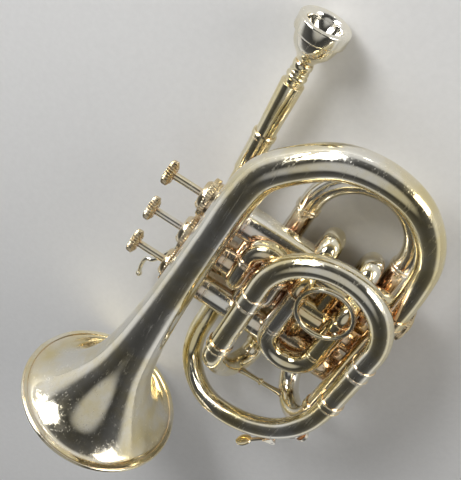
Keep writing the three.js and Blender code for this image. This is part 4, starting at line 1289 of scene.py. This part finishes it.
def spring_piece(number, x):
    """Spring under the piston."""
    low = LOW_CAP_FLOOR + SPRING_WIRE + FIT_GAP
    high = PISTON_BOTTOM - SPRING_WIRE - FIT_GAP
    count = SPRING_TURNS * SPRING_STEPS + 1
    turns = np.linspace(0, 2 * math.pi * SPRING_TURNS, count)
    coil = [np.cos(turns) * SPRING_RADIUS + x, np.sin(turns) * SPRING_RADIUS, np.linspace(low, high, count)]
    shape = tube(np.stack(coil, axis=1), SPRING_WIRE, sides=SPRING_SIDES)
    piece = make(f"valve_spring_{number}", shape, material=WIRE, bevel=0)
    foot = point(x, 0, LOW_CAP_FLOOR) * METRES
    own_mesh(piece)


def knuckle_piece(name, left, z):
    right = left + VALVE_PITCH
    path = straight(point(left, 0, z), point(right, 0, z), FINE_STEP)
    make(name, casing_tube(path, PASSAGE_RADIUS + KNUCKLE_WALL, left, right, KNUCKLE_WALL))


# Slides


def crook(x, side, heights, to_front=False):
    """Half circle that joins a high and a low tube."""
    ahead = X_AXIS if to_front else -X_AXIS
    high, low = heights
    middle = point(x, side, (high + low) / 2)
    return arc(middle, ahead, Z_AXIS, (high - low) / 2, math.pi / 2, -math.pi / 2, CROOK_COUNT)


def elbow(x, side, z, to_front=False):
    """Path from a valve's axis out to a side, and round to the front or the rear."""
    sign = math.copysign(1, side)
    ahead = 1 if to_front else -1
    middle = point(x + ahead * ELBOW_BEND, side - sign * ELBOW_BEND, z)
    bend = arc(middle, -X_AXIS * ahead, Y_AXIS * sign, ELBOW_BEND, 0, math.pi / 2, ELBOW_COUNT)
    return joined(straight(point(x, 0, z), bend[0], FINE_STEP), bend)


def drawn_crook(name, body, side, heights, x, ring_rear, ring_front, ring_radius, outer, leg_tip):
    """Crook with inner legs and a beaded ring on each, drawn to the rear."""
    leg = outer - TUBE_WALL - SLIDE_CLEARANCE
    inner = leg - TUBE_WALL
    high, low = (point(ring_rear, side, z) for z in heights)
    shape = tube(joined(high, crook(x, side, heights), low), outer, inner, FINE_SIDES)
    core = ring_radius - BEAD_HEIGHT
    length = ring_front - ring_rear
    for z in heights:
        start = point(ring_rear - TUBE_WALL, side, z)
        tube(straight(start, point(leg_tip, side, z)), leg, inner, shape=shape)
        place = placed(point(ring_rear, side, z))
        band(shape, place, inner + FIT_GAP, core, -FIT_GAP, length)
        end_beads(shape, place, core, length)
    make(name, shape, body)


def tuning_pieces():
    for level, z, front in zip(LEVELS, TUNING_Z, (TUNING_HIGH_FRONT, TUNING_LOW_FRONT)):
        start = point(TUNING_RING_FRONT + SEAT_GAP, TUNING, z)
        shape = pipe(straight(start, point(front, TUNING, z)), TUNING_RADIUS)
        bead_ring(shape, placed(start), BEAD_WIDTH / 2, TUNING_RADIUS)
        make(f"tuning_sleeve_{level}", shape)
    ring_rear = TUNING_RING_FRONT - TUNING_RING_LENGTH
    drawn_crook(
        "tuning_slide",
        "tuning_slide",
        TUNING,
        TUNING_Z,
        ring_rear - TUNING_STRAIGHT,
        ring_rear,
        TUNING_RING_FRONT,
        TUNING_RING_RADIUS,
        TUNING_RADIUS,
        TUNING_LOW_FRONT - STUB,
    )


FIRST_SLEEVE_REAR = -VALVE_PITCH + ELBOW_BEND + LEFT_GAP
FIRST_LEG = LEFT_RADIUS - TUBE_WALL - SLIDE_CLEARANCE


def first_pieces():
    for level, z in zip(LEVELS, FIRST_Z):
        path = joined(elbow(-VALVE_PITCH, LEFT, z, to_front=True), point(FIRST_LEG_FRONT, LEFT, z))
        make(f"first_leg_{level}", casing_tube(path, FIRST_LEG, start=-VALVE_PITCH))
    high, low = (point(FIRST_SLEEVE_REAR, LEFT, z) for z in FIRST_Z)
    bend = crook(FIRST_CROOK_X, LEFT, FIRST_Z, to_front=True)
    shape = pipe(joined(high, bend, low), LEFT_RADIUS, FINE_SIDES)
    for z in FIRST_Z:
        ring = placed(point(FIRST_CROOK_X - RING_LENGTH * 1.5, LEFT, z))
        end_beads(shape, ring, LEFT_RADIUS, RING_LENGTH)
        bead_ring(shape, placed(point(FIRST_SLEEVE_REAR, LEFT, z)), BEAD_WIDTH / 2, LEFT_RADIUS)
    make("first_slide", shape, "first_valve_slide")


def finger_ring_piece():
    side = LEFT + LEFT_RADIUS + FINGER_WIRE + SEAT_GAP
    high, low = FIRST_Z
    z = (high + low) / 2 - FINGER_WIRE * 2
    middle = point(FINGER_X, side, z)
    rings = [
        middle + arm * FINGER_RADIUS + swung(around(WIRE_SIDES), arm, Y_AXIS) * FINGER_WIRE
        for arm in swung(around(FINGER_COUNT), X_AXIS, Z_AXIS)
    ]
    shape = Shape().loft(rings, closed=True)
    reach = math.sqrt(FINGER_RADIUS**2 - (FINGER_FOOT_X - FINGER_X) ** 2)
    for foot_z, tube_z in ((z + reach, high), (z - reach, low)):
        top = point(FINGER_FOOT_X, side, foot_z)
        span = point(FINGER_FOOT_X, LEFT, tube_z) - top
        length = np.linalg.norm(span) - LEFT_RADIUS * FINGER_FOOT_REACH
        path = straight(top, top + unit(span) * length, TRIM_STEP)
        spread = np.linspace(0, 1, len(path)) ** 3
        radii = mix(FINGER_WIRE * FINGER_FOOT_SLIM, FINGER_WIRE * FINGER_FOOT_WIDE, spread)
        tube(path, radii, 0, WIRE_SIDES, shape)
    make("finger_ring", shape, "first_valve_slide")


def sleeve_pieces(name, x, side, heights, rear, radius):
    """High and low outer tube of a slide, from the casing round to the rear."""
    for level, z in zip(LEVELS, heights):
        path = joined(elbow(x, side, z), point(rear, side, z))
        shape = casing_tube(path, radius, start=x)
        bead_ring(shape, placed(point(rear, side, z)), BEAD_WIDTH / 2, radius)
        make(f"{name}_{level}", shape)


def rear_slide(name, side, heights, sleeve_rear, radius, crook_x, insert):
    front = sleeve_rear - SEAT_GAP
    rear = front - RING_LENGTH
    body = f"{name}_valve_slide"
    ring = radius + RING_WALL
    tip = sleeve_rear + insert
    drawn_crook(f"{name}_slide", body, side, heights, crook_x, rear, front, ring, radius, tip)


def second_and_third_pieces():
    second = (LEFT, SECOND_Z, SECOND_SLEEVE_REAR, LEFT_RADIUS)
    third = (RIGHT, THIRD_Z, THIRD_SLEEVE_REAR, SIDE_RADIUS)
    sleeve_pieces("second_sleeve", 0, *second)
    sleeve_pieces("third_sleeve", VALVE_PITCH, *third)
    rear_slide("second", *second, SECOND_CROOK_X, SECOND_INSERT)
    rear_slide("third", *third, THIRD_CROOK_X, THIRD_INSERT)


# Hook, stay and water key


def hook_piece():
    root = FRONT_KNOTS[0]
    start = point(root[0], LEAD, root[2] + LEAD_RADIUS * HOOK_ROOT_SHARE)
    end = start + point(HOOK_HEIGHT, -HOOK_RADIUS, HOOK_HEIGHT)
    knots = knots_between(start, end, [(ahead, ahead, up) for ahead, up in HOOK_SHARES])
    curve = Smooth(knots)
    path = curve.even(HOOK_STEP)
    spread = np.clip(1 - np.linspace(0, curve.length, len(path)) / HOOK_FOOT_LENGTH, 0, 1) ** 2
    shape = tube(path, HOOK_RADIUS * (1 + spread), 0, WIRE_SIDES)
    tip = placed(knots[-1], curve.direction(1))
    turned(shape, ball_profile(HOOK_BALL, HOOK_BALL_COUNT), tip, WIRE_SIDES)
    make("finger_hook", shape)


def stay_piece():
    low = low_bow_path()
    start = low[len(low) // 2]
    end = HIGH_BOW_KNOTS[HIGH_STAY_INDEX]
    ahead = unit(end - start)
    begin = start + ahead * (SIDE_RADIUS - FIT_GAP)
    finish = end - ahead * (SIDE_RADIUS - FIT_GAP)
    path = straight(begin, finish, TRIM_STEP)
    from_middle = np.abs(np.linspace(-1, 1, len(path)))
    shape = tube(path, STAY_RADIUS * mix(STAY_WAIST, 1, from_middle**4), 0, WIRE_SIDES)
    middle = placed((begin + finish) / 2, ahead)
    core = STAY_RADIUS * STAY_RING
    bead_ring(shape, middle, 0, core, STAY_RADIUS - core, BEAD_WIDTH * 2, WIRE_SIDES)
    make("front_stay", shape)


KEY_TURN = np.stack([KEY_ALONG, KEY_SIDE, KEY_OUT], axis=1)


def under_key(distance):
    """Middle of the bow below a place along the key, in the key's frame."""
    world = FRONT_CURVE.at(KEY_SHARE - distance / FRONT_CURVE.length)
    return KEY_TURN.T @ (world - KEY_ROOT)


def key_world(local):
    return KEY_TURN @ np.asarray(local, float) + KEY_ROOT


PIVOT_UNDER = under_key(KEY_ARM)
PADDLE_UNDER = under_key(KEY_ARM + KEY_PADDLE)
PIVOT = point(PIVOT_UNDER[0], 0, PIVOT_UNDER[2] + FRONT_RADIUS + KEY_PIVOT_LIFT)
PADDLE = point(PADDLE_UNDER[0], 0, PADDLE_UNDER[2] + FRONT_RADIUS + KEY_PADDLE_LIFT)
CORK_BOTTOM = FRONT_RADIUS + NIPPLE_HEIGHT + FIT_GAP
CORK_TOP = CORK_BOTTOM + CORK_THICKNESS
KEY_CUP = placed(KEY_ROOT, KEY_OUT, KEY_ALONG)
KEY_HALF = KEY_THICKNESS / 2


def oval_bar(shape, path, widths, thicknesses, across):
    """Bar of oval section along a path, in the key's frame."""
    steps = np.gradient(path, axis=0)
    rings = []
    for place, step, width, thick in zip(path, steps, widths, thicknesses):
        over = unit(np.cross(unit(step), across))
        section = swung(around(WIRE_SIDES), across * width / 2, over * thick / 2)
        rings.append([key_world(p) for p in place + section])
    shape.loft(rings, caps=True)


def lever_bar(shape, bored):
    """Bar from the cork's cup to a leaf-shaped paddle, with room for the pin."""
    knots = [
        point(0, 0, CORK_TOP + KEY_HALF),
        point(CORK_RADIUS, 0, CORK_TOP + KEY_HALF),
        PIVOT,
        (PIVOT + PADDLE) / 2,
        PADDLE + unit(PADDLE - PIVOT) * KEY_PADDLE_LENGTH / 2,
    ]
    curve = Smooth(knots)
    path = curve.even(KEY_STEP)
    from_end = (curve.length - np.linspace(0, curve.length, len(path))) / KEY_PADDLE_LENGTH
    leaf = np.where(from_end < 1, np.sqrt(np.clip(1 - (2 * from_end - 1) ** 2, 0, 1)), 0)
    widths = np.maximum(KEY_WIDTH / 2, KEY_PADDLE_WIDTH * leaf)
    widths[-1] = KEY_WIDTH / 3
    thick = np.where(from_end < 1, KEY_THICKNESS * KEY_PADDLE_THINNING, KEY_THICKNESS)
    away = np.linalg.norm(path - PIVOT, axis=1)
    nearest = int(np.argmin(away))
    for side in (slice(0, nearest), slice(nearest, None)):
        outside = away[side] > bored + FIT_GAP * 2
        oval_bar(shape, path[side][outside], widths[side][outside], thick[side][outside], Y_AXIS)


def key_lever_piece():
    shape = Shape()
    bored = KEY_PIN + SLIDE_CLEARANCE
    lever_bar(shape, bored)
    outer = CORK_RADIUS + CORK_CUP_WALL
    cup = [
        (ON_AXIS, CORK_TOP + FIT_GAP),
        (CORK_RADIUS + FIT_GAP, CORK_TOP + FIT_GAP),
        (CORK_RADIUS + FIT_GAP, CORK_TOP - CORK_THICKNESS / 2),
        (outer, CORK_TOP - CORK_THICKNESS / 2),
        (outer, CORK_TOP + KEY_HALF),
        (outer - KEY_HALF, CORK_TOP + KEY_THICKNESS),
        (ON_AXIS, CORK_TOP + KEY_THICKNESS),
    ]
    turned(shape, cup, KEY_CUP)
    hinge = placed(key_world(PIVOT - Y_AXIS * KEY_WIDTH / 2), KEY_SIDE, KEY_OUT)
    band(shape, hinge, bored, KEY_TUBE, 0, KEY_WIDTH, WIRE_SIDES)
    make("key_lever", shape, "water_key")


def key_cork_piece():
    profile = [
        (ON_AXIS, CORK_BOTTOM),
        (CORK_RADIUS - KEY_HALF / 2, CORK_BOTTOM),
        (CORK_RADIUS, CORK_BOTTOM + KEY_HALF / 2),
        (CORK_RADIUS, CORK_TOP),
        (ON_AXIS, CORK_TOP),
    ]
    make("key_cork", turned(Shape(), profile, KEY_CUP), "water_key", CORK)


def key_saddle_piece():
    """Curved plate on the bow with an ear on each side of the lever."""
    shape = Shape()
    inner = KEY_WIDTH / 2 + KEY_EAR_GAP
    outer = inner + KEY_EAR
    reach = math.asin(outer / (FRONT_RADIUS + SADDLE_PLATE))
    turns = np.linspace(-reach, reach, EAR_COUNT)
    strip = [(FRONT_RADIUS + SADDLE_PLATE, a) for a in turns] + [(FRONT_RADIUS, a) for a in turns[::-1]]
    rings = []
    for along in np.linspace(-KEY_TUBE * 2, KEY_TUBE * 2, SADDLE_RINGS):
        middle = under_key(KEY_ARM + along)
        rings.append([key_world(middle + point(0, r * math.sin(a), r * math.cos(a))) for r, a in strip])
    shape.loft(rings, caps=True)
    foot = PIVOT_UNDER[2] + FRONT_RADIUS - KEY_EAR
    spread = KEY_TUBE * KEY_EAR_FOOT
    crown = [
        (PIVOT[0] + KEY_TUBE * math.cos(a), PIVOT[2] + KEY_TUBE * math.sin(a))
        for a in np.linspace(-KEY_EAR_WRAP, math.pi + KEY_EAR_WRAP, EAR_COUNT)
    ]
    outline = [(PIVOT[0] + spread, foot), *crown, (PIVOT[0] - spread, foot)]
    for sign in (-1, 1):
        sides = [[key_world(point(x, sign * y, z)) for x, z in outline] for y in (inner, outer)]
        shape.loft(sides, caps=True)
    make("key_saddle", shape)


def key_pin_piece():
    outer = KEY_WIDTH / 2 + KEY_EAR_GAP + KEY_EAR
    chamfer = KEY_PIN / 2
    profile = [
        (ON_AXIS, -outer),
        (KEY_PIN, -outer),
        (KEY_PIN, outer + FIT_GAP),
        (KEY_TUBE, outer + FIT_GAP),
        (KEY_TUBE, outer + KEY_EAR - chamfer),
        (KEY_TUBE - chamfer, outer + KEY_EAR),
        (ON_AXIS, outer + KEY_EAR),
    ]
    place = placed(key_world(PIVOT), KEY_SIDE, KEY_OUT)
    make("key_pin", turned(Shape(), profile, place, WIRE_SIDES), material=WIRE)


def kept_nodes():
    """CAD nodes that stay as they are: the braces, with softened edges, and the hidden sleeve."""
    for name in ("bell_brace", "lead_brace", "bell_sleeve"):
        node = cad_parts[name]
        node.data.materials.clear()
        node.data.materials.append(SILVER)
        if name != "bell_sleeve":
            soften(node, EDGE_BEVEL * 2)


bell_piece()
bell_bow_piece()
low_leg_pieces()
low_bow_piece()
wrap_piece("low_return_tube", LOW_LEG_FRONT, LOW_RETURN_Z)
wrap_piece("high_return_tube", HIGH_RETURN_FRONT, HIGH_RETURN_Z)
high_bow_piece()
leadpipe_piece()
front_bow_piece()
lead_ferrule_piece()
receiver_piece()
mouthpiece_piece()
VALVE_PIECES = (
    casing_piece,
    top_cap_piece,
    bottom_cap_piece,
    button_piece,
    pearl_piece,
    piston_piece,
    spring_piece,
)
for number, valve_x in enumerate(VALVE_X, 1):
    for build in VALVE_PIECES:
        build(number, valve_x)
for level, heights in zip(LEVELS, (KNUCKLE_HIGH_Z, KNUCKLE_LOW_Z)):
    for number, z in enumerate(heights, 1):
        knuckle_piece(f"knuckle_{level}_{number}{number + 1}", VALVE_X[number - 1], z)
tuning_pieces()
first_pieces()
finger_ring_piece()
second_and_third_pieces()
hook_piece()
stay_piece()
key_lever_piece()
key_cork_piece()
key_pin_piece()
key_saddle_piece()
kept_nodes()


# Stage: the trumpet lies on its right side, as in the photograph


FLOOR_POINTS = [point(137, -28.5, 46), point(-139, -30.2, 46), point(-44, -24.4, -55)]
FLOOR_HALF = 1200
FLOOR_CORNERS = ((-1, -1), (1, -1), (1, 1), (-1, 1))
CAMERA_RIGHT = Vector((-0.41051668, -0.35272684, -0.8408685))
CAMERA_UP = Vector((-0.65773402, -0.524146, 0.54097775))
CAMERA_BACK = Vector((-0.63155523, 0.77514821, -0.01682976))
CAMERA_SHIFT = Vector((20.16, 23.07, 473.2)) * METRES
SENSOR = 36
FOCAL_PIXELS = 860.24
PHOTO_WIDTH = 461
CLIP_REACH = FLOOR_HALF * 10

# Grey of the room by height, and lamps: directions from the subject, sizes in metres, power in watts
ROOM_BANDS = ((0, 0.74), (0.2, 0.66), (0.45, 0.1), (0.82, 0.05), (0.95, 0.5), (1, 0.5))
SUBJECT = Vector((0, 0.02, 0))
LIGHT_REACH = 1.3
STRIP_COUNT = 4
STRIP_WAY = CAMERA_UP * 0.9 + CAMERA_BACK * 0.55
STRIP_SPREAD = 1.6
STRIP_SIZE = (0.3, 0.05)
STRIP_POWER = 0.8
KEY_WAY = CAMERA_BACK * 0.75 + CAMERA_UP * 0.55 - CAMERA_RIGHT * 0.5
KEY_SIZE = (0.7, 0.5)
KEY_POWER = 12
FILL_WAY = CAMERA_BACK * 0.7 + CAMERA_RIGHT * 0.8 - CAMERA_UP * 0.1
FILL_SIZE = (0.6, 0.6)
FILL_POWER = 6
FILL_COLOR = (1, 0.96, 0.9)


def stage_floor():
    a, b, c = FLOOR_POINTS
    up = unit(np.cross(b - a, c - a))
    up = up * math.copysign(1, up @ Y_AXIS)
    lowest = min(float(up @ p) for p in FLOOR_POINTS) - SEAT_GAP
    along = unit(X_AXIS - up * (X_AXIS @ up))
    across = np.cross(up, along)
    corners = [up * lowest + (along * i + across * k) * FLOOR_HALF for i, k in FLOOR_CORNERS]
    mesh = bpy.data.meshes.new("floor")
    mesh.from_pydata([tuple(p * METRES) for p in corners], [], [tuple(range(len(corners)))])
    mesh.materials.append(floor_material())
    floor = bpy.data.objects.new("floor", mesh)
    bpy.context.scene.collection.objects.link(floor)


def photo_camera():
    data = bpy.data.cameras.new("photo_camera")
    camera = bpy.data.objects.new("photo_camera", data)
    bpy.context.scene.collection.objects.link(camera)
    data.sensor_fit = "HORIZONTAL"
    data.sensor_width = SENSOR
    data.lens = FOCAL_PIXELS * SENSOR / PHOTO_WIDTH
    data.clip_start = METRES
    data.clip_end = CLIP_REACH * METRES
    turn = Matrix((CAMERA_RIGHT, CAMERA_UP, CAMERA_BACK)).transposed()
    place = -(CAMERA_RIGHT * CAMERA_SHIFT.x) + CAMERA_UP * CAMERA_SHIFT.y + CAMERA_BACK * CAMERA_SHIFT.z
    camera.matrix_world = Matrix.Translation(place) @ turn.to_4x4()
    bpy.context.scene.camera = camera


def soft_light(name, way, size, power, color=(1, 1, 1)):
    """Rectangular lamp that looks at the subject from a direction."""
    data = bpy.data.lights.new(name, "AREA")
    data.shape = "RECTANGLE"
    data.size, data.size_y = size
    data.energy = power
    data.color = color
    lamp = bpy.data.objects.new(name, data)
    bpy.context.scene.collection.objects.link(lamp)
    lamp.location = SUBJECT + way.normalized() * LIGHT_REACH
    lamp.rotation_mode = "QUATERNION"
    lamp.rotation_quaternion = (SUBJECT - lamp.location).to_track_quat("-Z", "Y")


def world_light():
    """Plain studio, pale near the floor and darker above it, so that the metal has something to mirror."""
    world = bpy.data.worlds.new("studio")
    bpy.context.scene.world = world
    world.use_nodes = True
    tree = world.node_tree
    place = tree.nodes.new("ShaderNodeTexCoord")
    split = tree.nodes.new("ShaderNodeSeparateXYZ")
    walls = tree.nodes.new("ShaderNodeValToRGB")
    walls.color_ramp.interpolation = "EASE"
    stops = walls.color_ramp.elements
    while len(stops) < len(ROOM_BANDS):
        stops.new(1)
    for stop, (height, grey) in zip(stops, ROOM_BANDS):
        stop.position = height
        stop.color = (grey, grey, grey, 1)
    tree.links.new(place.outputs["Generated"], split.inputs["Vector"])
    tree.links.new(split.outputs["Y"], walls.inputs["Fac"])
    tree.links.new(walls.outputs["Color"], tree.nodes["Background"].inputs["Color"])


photo_camera()
stage_floor()
world_light()
for index in range(STRIP_COUNT):
    spread = index / (STRIP_COUNT - 1) - 0.5
    way = STRIP_WAY + CAMERA_RIGHT * spread * STRIP_SPREAD
    soft_light(f"strip_{index + 1}", way, STRIP_SIZE, STRIP_POWER)
soft_light("key", KEY_WAY, KEY_SIZE, KEY_POWER)
soft_light("fill", FILL_WAY, FILL_SIZE, FILL_POWER, FILL_COLOR)
bpy.context.scene.view_settings.view_transform = "Standard"

bpy.context.view_layer.update()
